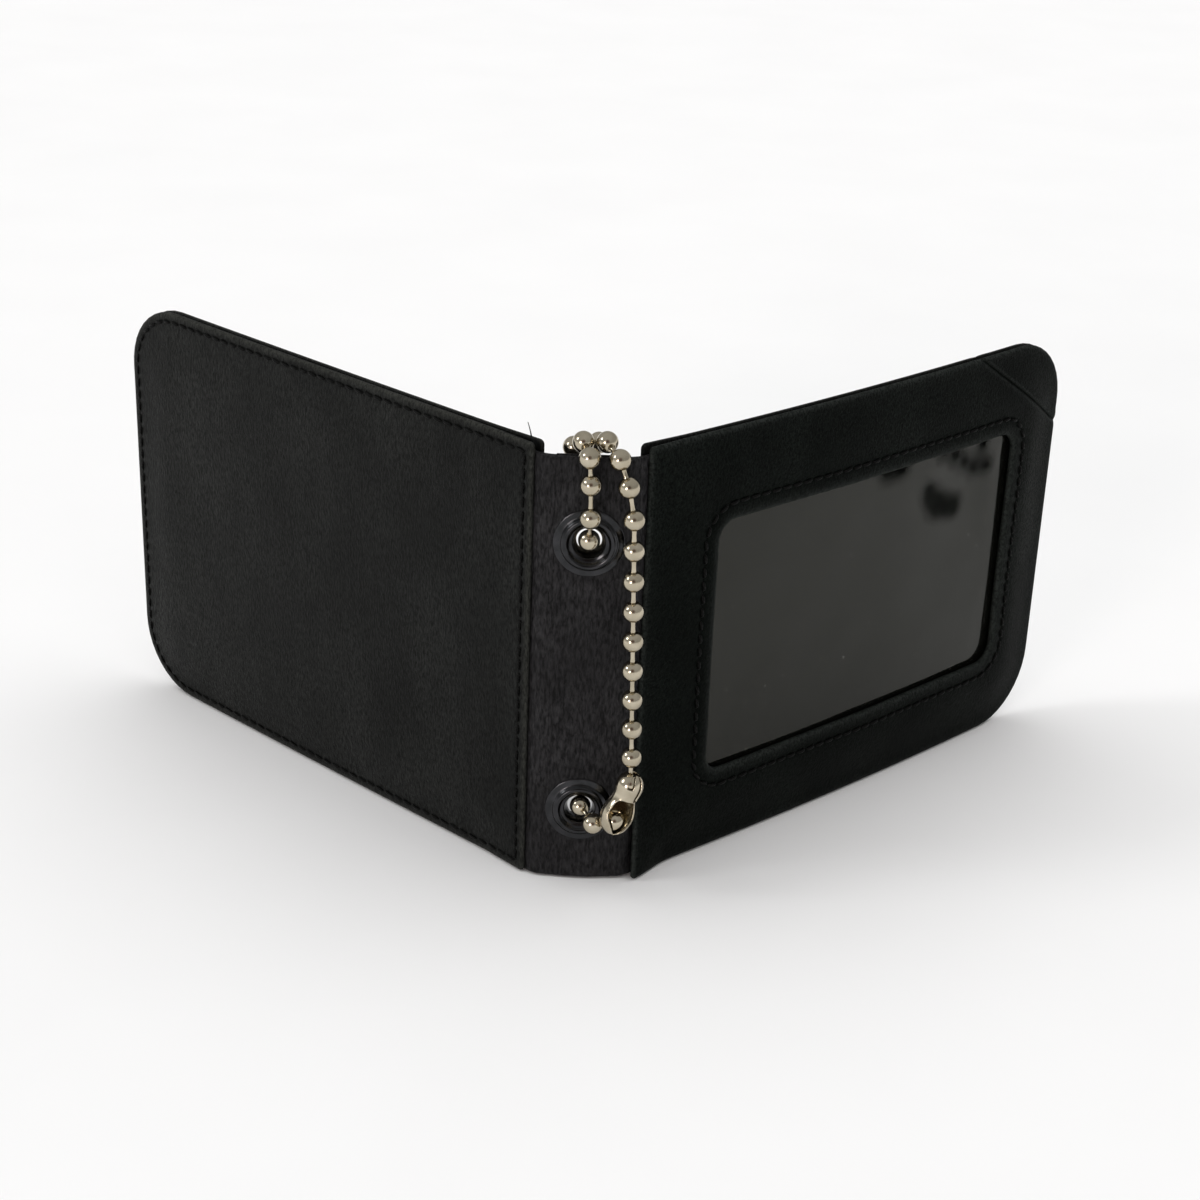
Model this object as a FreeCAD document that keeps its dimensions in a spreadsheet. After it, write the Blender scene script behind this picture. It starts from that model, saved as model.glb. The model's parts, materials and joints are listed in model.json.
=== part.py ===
"""Folding id badge wallet: two leather leaves with clear windows, a spine and a ball chain.

Frame in millimetres: +Z up along the spine, +X to the right seen from outside, +Y towards the inside.
The origin is the middle of the spine's bottom edge. Both leaves swing about the spine's side edges.
"""
import FreeCAD, Part
import math
import os
import re
from collections import namedtuple

import Sketcher

Vector = FreeCAD.Vector

# Driving dimensions, in millimetres and degrees
SIZES = {
    # Leaves
    "leaf_width": 94.5,
    "leaf_height": 70.0,
    "leaf_corner_radius": 12.0,
    "leaf_open_angle": 42.0,
    "cover_leather": 1.0,
    "stiffener_board": 0.4,
    "pocket_lining": 0.2,
    "pocket_depth": 0.8,
    "window_sheet": 0.2,
    "left_frame_leather": 1.0,
    "right_frame_leather": 0.9,
    "divider_sheet": 0.2,
    "divider_lining": 0.2,
    "layer_inset": 1.0,
    "pocket_edge_width": 2.2,
    "flange_width": 3.7,
    "flange_end_inset": 0.5,
    "sewing_clearance": 0.2,
    # Windows, measured from the leaf's own edges
    "left_window_side_margin": 13.0,
    "left_window_end_margin": 14.0,
    "right_inner_window_side_margin": 14.0,
    "right_inner_window_end_margin": 14.8,
    "right_outer_window_side_margin": 13.4,
    "right_outer_window_end_margin": 14.2,
    "window_corner_radius": 3.0,
    # Corner patch on a diagonal seam
    "patch_run": 23.0,
    "patch_drop": 15.5,
    # Seams
    "edge_seam_inset": 2.3,
    "cover_seam_inset": 1.5,
    "window_seam_offset": 2.8,
    "thread_width": 0.5,
    "thread_height": 0.3,
    "thread_clearance": 0.05,
    # Magnetic snap
    "snap_edge_distance": 9.2,
    "socket_radius": 6.7,
    "socket_height": 2.5,
    "socket_wall": 0.35,
    "socket_mouth_radius": 2.5,
    "socket_base": 0.4,
    "magnet_clearance": 0.1,
    "stud_plate_radius": 6.2,
    "stud_plate": 1.0,
    "stud_radius": 2.0,
    "stud_length": 1.9,
    "snap_fillet": 0.6,
    "rivet_radius": 0.9,
    "rivet_clearance": 0.05,
    "rivet_washer_radius": 2.5,
    "rivet_washer": 0.4,
    # Spine
    "pivot_spacing": 13.2,
    "spine_top_inset": 1.5,
    "spine_outer_leather": 1.1,
    "spine_lining_leather": 0.7,
    "fold_clearance": 0.4,
    "spine_seam_inset": 2.2,
    # Eyelets
    "lower_eyelet_height": 11.9,
    "upper_eyelet_drop": 13.0,
    "eyelet_bore_radius": 2.3,
    "eyelet_wall": 0.3,
    "eyelet_flange_radius": 5.2,
    "eyelet_flange_rim": 0.3,
    "eyelet_dome": 0.8,
    "eyelet_crown_radius": 3.5,
    "eyelet_clearance": 0.02,
    "eyelet_washer_radius": 3.4,
    "eyelet_washer": 0.6,
    "eyelet_washer_rim": 0.4,
    # Ball chain
    "bead_radius": 1.6,
    "bead_wall": 0.3,
    "bead_hole_radius": 0.42,
    "bead_pitch": 4.8,
    "link_radius": 0.32,
    "link_ball_radius": 0.48,
    "link_ball_offset": 0.75,
    "connector_radius": 2.0,
    "connector_wall": 0.28,
    "connector_slot": 1.0,
    "connector_entry_height": 2.2,
    "connector_mouth_radius": 1.2,
}

doc = FreeCAD.newDocument("IdBadgeWallet")
sheet = doc.addObject("Spreadsheet::Sheet", "Sizes")
for row, (alias, number) in enumerate(SIZES.items(), start=1):
    sheet.set(f"A{row}", alias)
    sheet.set(f"B{row}", str(number))
    sheet.setAlias(f"B{row}", alias)
doc.recompute()

nodes = []
TOLERANCE = 1e-4

# Layers of each leaf along its thickness, from the low face of its sketches to the high one
LEFT_LAYERS = [
    "cover_leather", "stiffener_board", "pocket_lining", "pocket_depth", "window_sheet", "left_frame_leather",
]
RIGHT_LAYERS = [
    "right_frame_leather", "window_sheet", "pocket_depth", "divider_lining",
    "divider_sheet", "pocket_depth", "window_sheet", "right_frame_leather",
]

# Depth of the spine: its middle plane holds both folds
SPINE_HALF_DEPTH = "((spine_outer_leather + spine_lining_leather) / 2)"
SPINE_JOINT = f"(spine_outer_leather - {SPINE_HALF_DEPTH})"

# Heights on the spine
SPINE_HEIGHT = "(leaf_height - spine_top_inset)"
EYELET_HEIGHTS = {"lower": "lower_eyelet_height", "upper": f"({SPINE_HEIGHT} - upper_eyelet_drop)"}

# Edges of a leaf in its own plane: x runs out from the fold, y runs up
LEAF_START = f"({SPINE_HALF_DEPTH} + fold_clearance)"
LEAF_END = f"({LEAF_START} + leaf_width)"
POCKET_START = f"({LEAF_START} + flange_width + sewing_clearance)"
SNAP_ALONG = f"({LEAF_END} - snap_edge_distance)"
SNAP_UP = "(leaf_height / 2)"
RIVET_HOLE = "rivet_radius + rivet_clearance"
WASHER_HOLE = "rivet_washer_radius + rivet_clearance"

Outline = namedtuple("Outline", "left bottom right top radius round_spine_side")


def bound(expression):
    """An expression with every alias read from the sheet."""
    return re.sub(r"[a-z][a-z_]+", lambda word: f"Sizes.{word.group()}", expression)


def value(expression):
    """The number that an expression over the sheet stands for."""
    return float(sheet.evalExpression(expression))


def level(layers, index):
    """Height of a layer's low face, with the middle of the stack at zero."""
    middle = " + ".join(layers)
    return " + ".join([f"-({middle}) / 2"] + layers[:index])


def leaf_outline(inset):
    """A leaf's outline moved in by an inset: square by the spine, round at the outer corners."""
    start = f"{LEAF_START} + ({inset})"
    end = f"{LEAF_END} - ({inset})"
    radius = f"leaf_corner_radius - ({inset})"
    return Outline(start, f"({inset})", end, f"leaf_height - ({inset})", radius, False)


def inner_outline():
    """Outline of the layers that lie inside the sewn edge, from the spine flange outwards."""
    return leaf_outline("layer_inset")._replace(left=POCKET_START)


def window_outline(name, offset):
    """A window's outline moved out by an offset, round at all four corners."""
    side = f"({name}_window_side_margin - ({offset}))"
    end = f"({name}_window_end_margin - ({offset}))"
    radius = f"window_corner_radius + ({offset})"
    right = f"{LEAF_END} - {side}"
    return Outline(f"{LEAF_START} + {side}", end, right, f"leaf_height - {end}", radius, True)


def seam_band(outline, path, half_width):
    """Outer and inner outline of a band that follows a seam."""
    return [outline(f"{path} - ({half_width})"), outline(f"{path} + ({half_width})")]


def edge_band(path, half_width):
    return seam_band(leaf_outline, path, half_width)


def window_band(name, half_width):
    return seam_band(lambda offset: window_outline(name, offset), "window_seam_offset", half_width)


def new_body(label):
    body = doc.addObject("PartDesign::Body", label)
    body.Label = label
    return body


def new_sketch(body, height, role="XZ_Plane"):
    """A sketch parallel to one of the body's own planes, at a height along its normal."""
    plane = next(feature for feature in body.Origin.OriginFeatures if feature.Role == role)
    sketch = body.newObject("Sketcher::SketchObject", f"{body.Label}_sketch")
    sketch.AttachmentSupport = [(plane, "")]
    sketch.MapMode = "FlatFace"
    sketch.setExpression("AttachmentOffset.Base.z", bound(height))
    return sketch


def constrain(sketch, kind, geometry, expression):
    """Tie one measure of a sketch to the sheet."""
    index = sketch.addConstraint(Sketcher.Constraint(kind, *geometry, value(expression)))
    sketch.setExpression(f"Constraints[{index}]", bound(expression))


def place_point(sketch, geometry, point, along, up):
    """Hold a point at a distance from the sketch's origin."""
    constrain(sketch, "DistanceX", (-1, 1, geometry, point), along)
    constrain(sketch, "DistanceY", (-1, 1, geometry, point), up)


def add_outline(sketch, outline):
    """A closed outline of four sides with tangent corner arcs."""
    left, bottom, right, top = (value(side) for side in outline[:4])
    radius = value(outline.radius)
    corners = [(left, bottom), (right, bottom), (right, top), (left, top)]
    inward = [(1, 1), (-1, 1), (-1, -1), (1, -1)]
    rounded = [outline.round_spine_side, True, True, outline.round_spine_side]
    trim = [radius if is_round else 0.0 for is_round in rounded]
    forward = [(1, 0), (0, 1), (-1, 0), (0, -1)]
    sides = []
    for k, (x, y) in enumerate(corners):
        following = (k + 1) % 4
        end_x, end_y = corners[following]
        step_x, step_y = forward[k]
        start = Vector(x + trim[k] * step_x, y + trim[k] * step_y, 0)
        finish = Vector(end_x - trim[following] * step_x, end_y - trim[following] * step_y, 0)
        sides.append(sketch.addGeometry(Part.LineSegment(start, finish)))
    first_arc = None
    for k, (x, y) in enumerate(corners):
        before = sides[k - 1]
        if not rounded[k]:
            sketch.addConstraint(Sketcher.Constraint("Coincident", before, 2, sides[k], 1))
            continue
        centre = Vector(x + radius * inward[k][0], y + radius * inward[k][1], 0)
        circle = Part.Circle(centre, Vector(0, 0, 1), radius)
        begin = math.pi + k * math.pi / 2
        arc = sketch.addGeometry(Part.ArcOfCircle(circle, begin, begin + math.pi / 2))
        sketch.addConstraint(Sketcher.Constraint("Tangent", before, 2, arc, 1))
        sketch.addConstraint(Sketcher.Constraint("Tangent", arc, 2, sides[k], 1))
        if first_arc is None:
            first_arc = arc
            constrain(sketch, "Radius", (arc,), outline.radius)
        else:
            sketch.addConstraint(Sketcher.Constraint("Equal", first_arc, arc))
    for k, direction in enumerate(["Horizontal", "Vertical", "Horizontal", "Vertical"]):
        sketch.addConstraint(Sketcher.Constraint(direction, sides[k]))
    constrain(sketch, "DistanceY", (-1, 1, sides[0], 1), outline.bottom)
    constrain(sketch, "DistanceX", (-1, 1, sides[1], 1), outline.right)
    constrain(sketch, "DistanceY", (-1, 1, sides[2], 1), outline.top)
    constrain(sketch, "DistanceX", (-1, 1, sides[3], 1), outline.left)


def add_circle(sketch, along, up, radius):
    centre = Vector(value(along), value(up), 0)
    circle = sketch.addGeometry(Part.Circle(centre, Vector(0, 0, 1), value(radius)))
    place_point(sketch, circle, 3, along, up)
    constrain(sketch, "Radius", (circle,), radius)


def add_polygon(sketch, points):
    """A closed outline of straight sides through points given as pairs of expressions."""
    corners = [Vector(value(along), value(up), 0) for along, up in points]
    sides = []
    for k, corner in enumerate(corners):
        sides.append(sketch.addGeometry(Part.LineSegment(corner, corners[(k + 1) % len(corners)])))
    for k, (along, up) in enumerate(points):
        sketch.addConstraint(Sketcher.Constraint("Coincident", sides[k - 1], 2, sides[k], 1))
        place_point(sketch, sides[k], 1, along, up)


def pad(body, sketch, length):
    feature = body.newObject("PartDesign::Pad", f"{body.Label}_pad")
    feature.Profile = sketch
    feature.setExpression("Length", bound(length))
    return feature


def pocket(body, sketch, depth, upwards):
    """Cut down from a high face, or upwards from a low one, and check that material went."""
    doc.recompute()
    volume_before = body.Shape.Volume
    feature = body.newObject("PartDesign::Pocket", f"{body.Label}_pocket")
    feature.Profile = sketch
    feature.Reversed = upwards
    feature.setExpression("Length", bound(depth))
    doc.recompute()
    if body.Shape.Volume >= volume_before:
        raise RuntimeError(f"a pocket of {body.Label} cuts nothing")
    return feature


def revolve(body, sketch):
    feature = body.newObject("PartDesign::Revolution", f"{body.Label}_revolution")
    feature.Profile = sketch
    feature.ReferenceAxis = (sketch, ["V_Axis"])
    feature.Angle = 360
    return feature


def round_edges(body, base, radius, picks):
    """Fillet the edges of a feature that a test picks."""
    doc.recompute()
    names = [f"Edge{k}" for k, edge in enumerate(base.Shape.Edges, start=1) if picks(edge)]
    feature = body.newObject("PartDesign::Fillet", f"{body.Label}_fillet")
    feature.Base = (base, names)
    feature.setExpression("Radius", bound(radius))
    return feature


def on_leaf(item, side):
    """Swing an object from its sketch plane to the left (-1) or right (+1) leaf."""
    turn = "leaf_open_angle" if side > 0 else "180 - leaf_open_angle"
    pivot = Vector(side * value("pivot_spacing / 2"), 0, 0)
    item.Placement = FreeCAD.Placement(pivot, FreeCAD.Rotation(Vector(0, 0, 1), value(turn)))
    item.setExpression("Placement.Base.x", bound(f"{side} * pivot_spacing / 2"))
    item.setExpression("Placement.Rotation.Angle", bound(turn))


def plate(label, side, outlines, height, thickness):
    """A flat layer of a leaf: the first outline bounds it and the others are holes."""
    body = new_body(label)
    sketch = new_sketch(body, height)
    for outline in outlines:
        add_outline(sketch, outline)
    pad(body, sketch, thickness)
    on_leaf(body, side)
    return body


def layer(label, side, layers, index, outlines):
    """A leaf's layer at its place in the stack."""
    return plate(label, side, outlines, level(layers, index), layers[index])


def groove(body, outlines, face, upwards):
    """A shallow track for a seam's thread."""
    sketch = new_sketch(body, face)
    for outline in outlines:
        add_outline(sketch, outline)
    pocket(body, sketch, "thread_height", upwards)


def seam(body, name, side, bands, face, upwards):
    """A seam: its groove in a leather face and the thread that lies in the groove."""
    groove(body, bands("thread_width / 2 + thread_clearance"), face, upwards)
    low = face if upwards else f"{face} - thread_height"
    thread = plate(f"{name}_thread", side, bands("thread_width / 2"), low, "thread_height")
    nodes.append(thread)
    return thread, low


def break_seam(thread, low):
    """End a window's seam on both sides of the snap's rivet, under the snap's plate."""
    bore(thread, low, "thread_height", WASHER_HOLE)


def rivet_hole(body, face, depth, seat_face):
    """A hole up through a frame for the snap's rivet, with a seat for its washer on the hidden face."""
    bore(body, face, depth, RIVET_HOLE)
    bore(body, seat_face, "rivet_washer", WASHER_HOLE)


def disc(label, side, steps):
    """A turned piece on the snap's axis: each step is a low face, a length and a radius."""
    body = new_body(label)
    feature = None
    for low, length, radius in steps:
        sketch = new_sketch(body, low)
        add_circle(sketch, SNAP_ALONG, SNAP_UP, radius)
        feature = pad(body, sketch, length)
    on_leaf(body, side)
    return body, feature


def bore(body, low, depth, radius):
    """A hole up into a piece on the snap's axis."""
    sketch = new_sketch(body, low)
    add_circle(sketch, SNAP_ALONG, SNAP_UP, radius)
    return pocket(body, sketch, depth, True)


def rim_at(height, radius):
    """A test for the circular edge at one height along the sketch's normal."""
    def picks(edge):
        circle = edge.Curve
        is_rim = isinstance(circle, Part.Circle) and abs(circle.Radius - value(radius)) < TOLERANCE
        return is_rim and abs(-circle.Center.y - value(height)) < TOLERANCE
    return picks


def pocket_edge(label, side, layers, index):
    """The turned edge that closes a card pocket at the bottom and at the outer side."""
    body = layer(label, side, layers, index, [inner_outline()])
    opening = new_sketch(body, level(layers, index))
    room = leaf_outline("layer_inset + pocket_edge_width")
    add_outline(opening, room._replace(left=LEAF_START, top="leaf_height + leaf_corner_radius"))
    pocket(body, opening, layers[index], True)
    return body


def spine_flange(label, side, low, thickness):
    """The part of the spine's leather that is sewn between a leaf's layers."""
    body = new_body(label)
    sketch = new_sketch(body, low)
    far = f"{LEAF_START} + flange_width"
    top = "leaf_height - flange_end_inset"
    add_polygon(sketch, [
        (LEAF_START, "flange_end_inset"), (far, "flange_end_inset"), (far, top), (LEAF_START, top),
    ])
    pad(body, sketch, thickness)
    on_leaf(body, side)
    return body


def left_leaf():
    layers = LEFT_LAYERS
    cover_face = level(layers, 0)
    cover = layer("left_outer_cover", -1, layers, 0, [leaf_outline("0")])
    seam(cover, "left_cover", -1, lambda half: edge_band("cover_seam_inset", half), cover_face, True)
    nodes.append(cover)
    nodes.append(layer("left_stiffener", -1, layers, 1, [inner_outline()]))
    nodes.append(layer("left_pocket_lining", -1, layers, 2, [inner_outline()]))
    nodes.append(pocket_edge("left_pocket_edge", -1, layers, 3))
    nodes.append(layer("left_window_sheet", -1, layers, 4, [inner_outline()]))
    frame = layer("left_inner_frame", -1, layers, 5, [leaf_outline("0"), window_outline("left", "0")])
    face = level(layers, 6)
    seam(frame, "left_frame_edge", -1, lambda half: edge_band("edge_seam_inset", half), face, False)
    break_seam(*seam(frame, "left_window", -1, lambda half: window_band("left", half), face, False))
    hidden_face = level(layers, 5)
    rivet_hole(frame, hidden_face, "left_frame_leather", hidden_face)
    nodes.append(frame)
    between = " + ".join(layers[1:5])
    nodes.append(spine_flange("left_spine_flange", -1, level(layers, 1), between))
    snap_socket(face, hidden_face)


def snap_socket(face, hidden_face):
    """The socket half of the magnetic snap, on the left leaf's inner face."""
    inner_radius = "socket_radius - socket_wall"
    base, _ = disc("snap_socket_base", -1, [
        (face, "socket_base", f"{inner_radius} - magnet_clearance"),
        (hidden_face, "left_frame_leather", "rivet_radius"),
    ])
    nodes.append(base)
    top = f"{face} + socket_height"
    cover, dome = disc("snap_socket_cover", -1, [(face, "socket_height", "socket_radius")])
    rounded = round_edges(cover, dome, "snap_fillet", rim_at(top, "socket_radius"))
    cover.Tip = rounded
    bore(cover, face, "socket_height - socket_wall", inner_radius)
    bore(cover, face, "socket_height", "socket_mouth_radius")
    nodes.append(cover)
    room = "socket_height - socket_wall - socket_base"
    low = f"{face} + socket_base"
    magnet, _ = disc("snap_magnet", -1, [(low, room, f"{inner_radius} - magnet_clearance")])
    bore(magnet, low, room, "socket_mouth_radius + magnet_clearance")
    nodes.append(magnet)
    washer, _ = disc("snap_socket_washer", -1, [(hidden_face, "rivet_washer", "rivet_washer_radius")])
    bore(washer, hidden_face, "rivet_washer", RIVET_HOLE)
    nodes.append(washer)


def right_frame(name, index, face, upwards):
    """One of the right leaf's two leather frames, cut along its diagonal seam into frame and patch."""
    layers = RIGHT_LAYERS
    outlines = [leaf_outline("0"), window_outline(f"right_{name}", "0")]
    blank = layer(f"right_{name}_blank", 1, layers, index, outlines)
    window = f"right_{name}"
    window_seam = seam(blank, f"{window}_window", 1, lambda half: window_band(window, half), face, upwards)
    if name == "inner":
        break_seam(*window_seam)
        seam(blank, "right_frame_edge", 1, lambda half: edge_band("edge_seam_inset", half), face, upwards)
        rivet_hole(blank, face, "right_frame_leather", f"{level(layers, 1)} - rivet_washer")
    corner = new_body(f"right_{name}_corner_prism")
    sketch = new_sketch(corner, level(layers, index))
    add_polygon(sketch, [
        (f"{LEAF_END} - patch_run", "leaf_height"),
        (LEAF_END, "leaf_height - patch_drop"),
        (LEAF_END, "leaf_height"),
    ])
    pad(corner, sketch, layers[index])
    on_leaf(corner, 1)
    frame = doc.addObject("Part::Cut", f"right_{name}_frame")
    patch = doc.addObject("Part::Common", f"right_{name}_corner_patch")
    for piece in (frame, patch):
        piece.Base = blank
        piece.Tool = corner
        nodes.append(piece)


def right_leaf():
    layers = RIGHT_LAYERS
    right_frame("inner", 0, level(layers, 0), True)
    nodes.append(layer("right_inner_window_sheet", 1, layers, 1, [inner_outline()]))
    nodes.append(pocket_edge("right_inner_pocket_edge", 1, layers, 2))
    nodes.append(layer("right_divider_lining", 1, layers, 3, [inner_outline()]))
    nodes.append(layer("right_divider_sheet", 1, layers, 4, [inner_outline()]))
    nodes.append(pocket_edge("right_outer_pocket_edge", 1, layers, 5))
    nodes.append(layer("right_outer_window_sheet", 1, layers, 6, [inner_outline()]))
    right_frame("outer", 7, level(layers, 8), False)
    between = " + ".join(layers[1:7])
    nodes.append(spine_flange("right_spine_flange", 1, level(layers, 1), between))
    snap_stud(level(layers, 0), level(layers, 1))


def snap_stud(face, hidden_face):
    """The stud half of the magnetic snap, on the right leaf's inner face."""
    plate_low = f"{face} - stud_plate"
    stud_low = f"{plate_low} - stud_length"
    stud, _ = disc("snap_stud", 1, [
        (plate_low, "stud_plate", "stud_plate_radius"),
        (stud_low, "stud_length", "stud_radius"),
        (face, "right_frame_leather", "rivet_radius"),
    ])
    nodes.append(stud)
    washer_low = f"{hidden_face} - rivet_washer"
    washer, _ = disc("snap_stud_washer", 1, [(washer_low, "rivet_washer", "rivet_washer_radius")])
    bore(washer, washer_low, "rivet_washer", RIVET_HOLE)
    nodes.append(washer)


def add_spine_profile(sketch, flat_side):
    """A strip's cross-section: flat on one side, and round about the folds at both ends."""
    half_width = value("pivot_spacing / 2")
    half_depth = value(SPINE_HALF_DEPTH)
    joint_angle = math.asin(value(SPINE_JOINT) / half_depth)
    spans = {
        -1: ((-math.pi / 2, joint_angle), (math.pi - joint_angle, 3 * math.pi / 2)),
        1: ((joint_angle, math.pi / 2), (math.pi / 2, math.pi - joint_angle)),
    }
    arcs = []
    for side, span in zip((1, -1), spans[flat_side]):
        circle = Part.Circle(Vector(side * half_width, 0, 0), Vector(0, 0, 1), half_depth)
        arc = sketch.addGeometry(Part.ArcOfCircle(circle, *span))
        sketch.addConstraint(Sketcher.Constraint("PointOnObject", arc, 3, -1))
        constrain(sketch, "Radius", (arc,), SPINE_HALF_DEPTH)
        arcs.append(arc)
    right, left = arcs
    constrain(sketch, "DistanceX", (-1, 1, right, 3), "pivot_spacing / 2")
    constrain(sketch, "DistanceX", (left, 3, -1, 1), "pivot_spacing / 2")
    for start, finish, is_flat in ((right, left, flat_side > 0), (left, right, flat_side < 0)):
        ends = [sketch.getPoint(start, 2), sketch.getPoint(finish, 1)]
        line = sketch.addGeometry(Part.LineSegment(*ends))
        meeting = "Tangent" if is_flat else "Coincident"
        sketch.addConstraint(Sketcher.Constraint(meeting, start, 2, line, 1))
        sketch.addConstraint(Sketcher.Constraint(meeting, line, 2, finish, 1))
        if not is_flat:
            sketch.addConstraint(Sketcher.Constraint("Horizontal", line))
            constrain(sketch, "DistanceY", (-1, 1, line, 1), SPINE_JOINT)


def spine_layer(label, flat_side, inner_face, thickness):
    """A strip of spine leather with holes for both eyelets."""
    body = new_body(label)
    profile = new_sketch(body, "0", "XY_Plane")
    add_spine_profile(profile, flat_side)
    pad(body, profile, SPINE_HEIGHT)
    holes = new_sketch(body, f"-{inner_face}")
    for height in EYELET_HEIGHTS.values():
        add_circle(holes, "0", height, "eyelet_bore_radius + eyelet_wall + eyelet_clearance")
    pocket(body, holes, thickness, True)
    nodes.append(body)
    return body


def spine():
    spine_layer("spine_outer", -1, SPINE_JOINT, "spine_outer_leather")
    lining = spine_layer("spine_lining", 1, SPINE_HALF_DEPTH, "spine_lining_leather")
    slots = new_sketch(lining, f"-{SPINE_HALF_DEPTH}")
    right = "pivot_spacing / 2"
    left = f"-{right}"
    for name, middle in (("lower", "spine_seam_inset"), ("upper", f"{SPINE_HEIGHT} - spine_seam_inset")):
        low = f"{middle} - thread_width / 2"
        slot_low = f"{low} - thread_clearance"
        slot_high = f"{middle} + thread_width / 2 + thread_clearance"
        add_polygon(slots, [(left, slot_low), (right, slot_low), (right, slot_high), (left, slot_high)])
        thread = doc.addObject("Part::Box", f"spine_{name}_thread")
        thread.setExpression("Length", bound("pivot_spacing"))
        thread.setExpression("Width", bound("thread_height"))
        thread.setExpression("Height", bound("thread_width"))
        thread.setExpression("Placement.Base.x", bound(left))
        thread.setExpression("Placement.Base.y", bound(f"{SPINE_HALF_DEPTH} - thread_height"))
        thread.setExpression("Placement.Base.z", bound(low))
        nodes.append(thread)
    pocket(lining, slots, "thread_height", True)
    for name, height in EYELET_HEIGHTS.items():
        eyelet(name, height)


def eyelet(name, height):
    """An eyelet with a domed flange outside and a clinch washer inside, turned about the chain's hole."""
    outer_radius = "eyelet_bore_radius + eyelet_wall"
    leather = "spine_outer_leather + spine_lining_leather"
    seat = f"eyelet_washer + {leather}"
    crown = f"{seat} + eyelet_dome"
    barrel = new_body(f"{name}_eyelet")
    profile = new_sketch(barrel, "0", "XY_Plane")
    add_polygon(profile, [
        ("eyelet_bore_radius", "0"),
        (outer_radius, "0"),
        (outer_radius, seat),
        ("eyelet_flange_radius", seat),
        ("eyelet_flange_radius", f"{seat} + eyelet_flange_rim"),
        ("eyelet_crown_radius", crown),
        (outer_radius, crown),
        ("eyelet_bore_radius", f"{crown} - eyelet_wall"),
    ])
    revolve(barrel, profile)
    washer = new_body(f"{name}_eyelet_washer")
    profile = new_sketch(washer, "0", "XY_Plane")
    bore_radius = f"{outer_radius} + eyelet_clearance"
    add_polygon(profile, [
        (bore_radius, "0"), ("eyelet_washer_radius", "eyelet_washer - eyelet_washer_rim"),
        ("eyelet_washer_radius", "eyelet_washer"), (bore_radius, "eyelet_washer"),
    ])
    revolve(washer, profile)
    for piece in (barrel, washer):
        turn = FreeCAD.Rotation(Vector(0, 0, 1), 180)
        piece.Placement = FreeCAD.Placement(Vector(), turn)
        piece.setExpression("Placement.Base.y", bound(f"({leather}) / 2 + eyelet_washer"))
        piece.setExpression("Placement.Base.z", bound(height))
        nodes.append(piece)


def chain_route():
    """Bead centres where the chain bends, from the connector's upper end round to its lower end."""
    low = Vector(0, 0, value(EYELET_HEIGHTS["lower"]))
    high = Vector(0, 0, value(EYELET_HEIGHTS["upper"]))
    top = Vector(0, 0, value(SPINE_HEIGHT))
    return [
        low + Vector(7.4, -4.9, 6.8),
        low + Vector(7.4, -4.6, 11.1),
        top + Vector(6.3, -4.2, -7.9),
        top + Vector(5.4, -3.8, -3.2),
        top + Vector(4.0, -2.9, 0.6),
        top + Vector(2.1, 0.4, 2.0),
        top + Vector(0.9, 4.2, 0.5),
        top + Vector(-0.9, 7.2, -2.4),
        top + Vector(-2.7, 4.0, -0.2),
        top + Vector(-1.3, 0.7, 1.8),
        top + Vector(-0.3, -2.9, 0.7),
        top + Vector(0.0, -3.1, -3.3),
        high + Vector(0.1, -3.4, 4.8),
        high + Vector(0.0, -1.1, 0.5),
        high + Vector(0.1, 3.3, -2.0),
        (high + low) / 2 + Vector(0.0, 4.0, 0.0),
        low + Vector(0.1, 3.3, 2.0),
        low + Vector(0.1, -0.6, 0.4),
        low + Vector(2.1, -4.0, -0.7),
        low + Vector(5.3, -5.6, 0.8),
    ]


def bead_centres(route):
    """Beads at the route's points, and evenly between points that lie several beads apart."""
    pitch = value("bead_pitch")
    centres = [route[0]]
    for start, finish in zip(route, route[1:]):
        steps = max(1, round((finish - start).Length / pitch))
        centres += [start + (finish - start) * (k / steps) for k in range(1, steps + 1)]
    return centres


def along(start, finish):
    return (finish - start) / (finish - start).Length


def chain_bead(centre, neighbours):
    """A hollow bead with a hole towards each link that enters it."""
    radius = value("bead_radius")
    shell = Part.makeSphere(radius, centre)
    shell = shell.cut(Part.makeSphere(radius - value("bead_wall"), centre))
    for neighbour in neighbours:
        hole = Part.makeCylinder(value("bead_hole_radius"), 2 * radius, centre, along(centre, neighbour))
        shell = shell.cut(hole)
    return shell


def chain_link(start, finish):
    """A dumbbell wire whose ball ends sit inside two beads, turned about its own length."""
    direction = along(start, finish)
    ball = value("link_ball_radius")
    wire = value("link_radius")
    neck = math.sqrt(ball**2 - wire**2)
    base = start + direction * value("link_ball_offset")
    length = (finish - start).Length - 2 * value("link_ball_offset")
    tip = Vector(0, 0, length + ball)
    profile = Part.Wire([
        Part.Arc(Vector(0, 0, -ball), Vector(ball, 0, 0), Vector(wire, 0, neck)).toShape(),
        Part.makeLine(Vector(wire, 0, neck), Vector(wire, 0, length - neck)),
        Part.Arc(Vector(wire, 0, length - neck), Vector(ball, 0, length), tip).toShape(),
        Part.makeLine(tip, Vector(0, 0, -ball)),
    ])
    link = Part.Face(profile).revolve(Vector(), Vector(0, 0, 1), 360)
    link.Placement = FreeCAD.Placement(base, FreeCAD.Rotation(Vector(0, 0, 1), direction))
    return link


def group(label, solids):
    feature = doc.addObject("Part::Feature", label)
    feature.Shape = Part.makeCompound(solids)
    nodes.append(feature)


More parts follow.
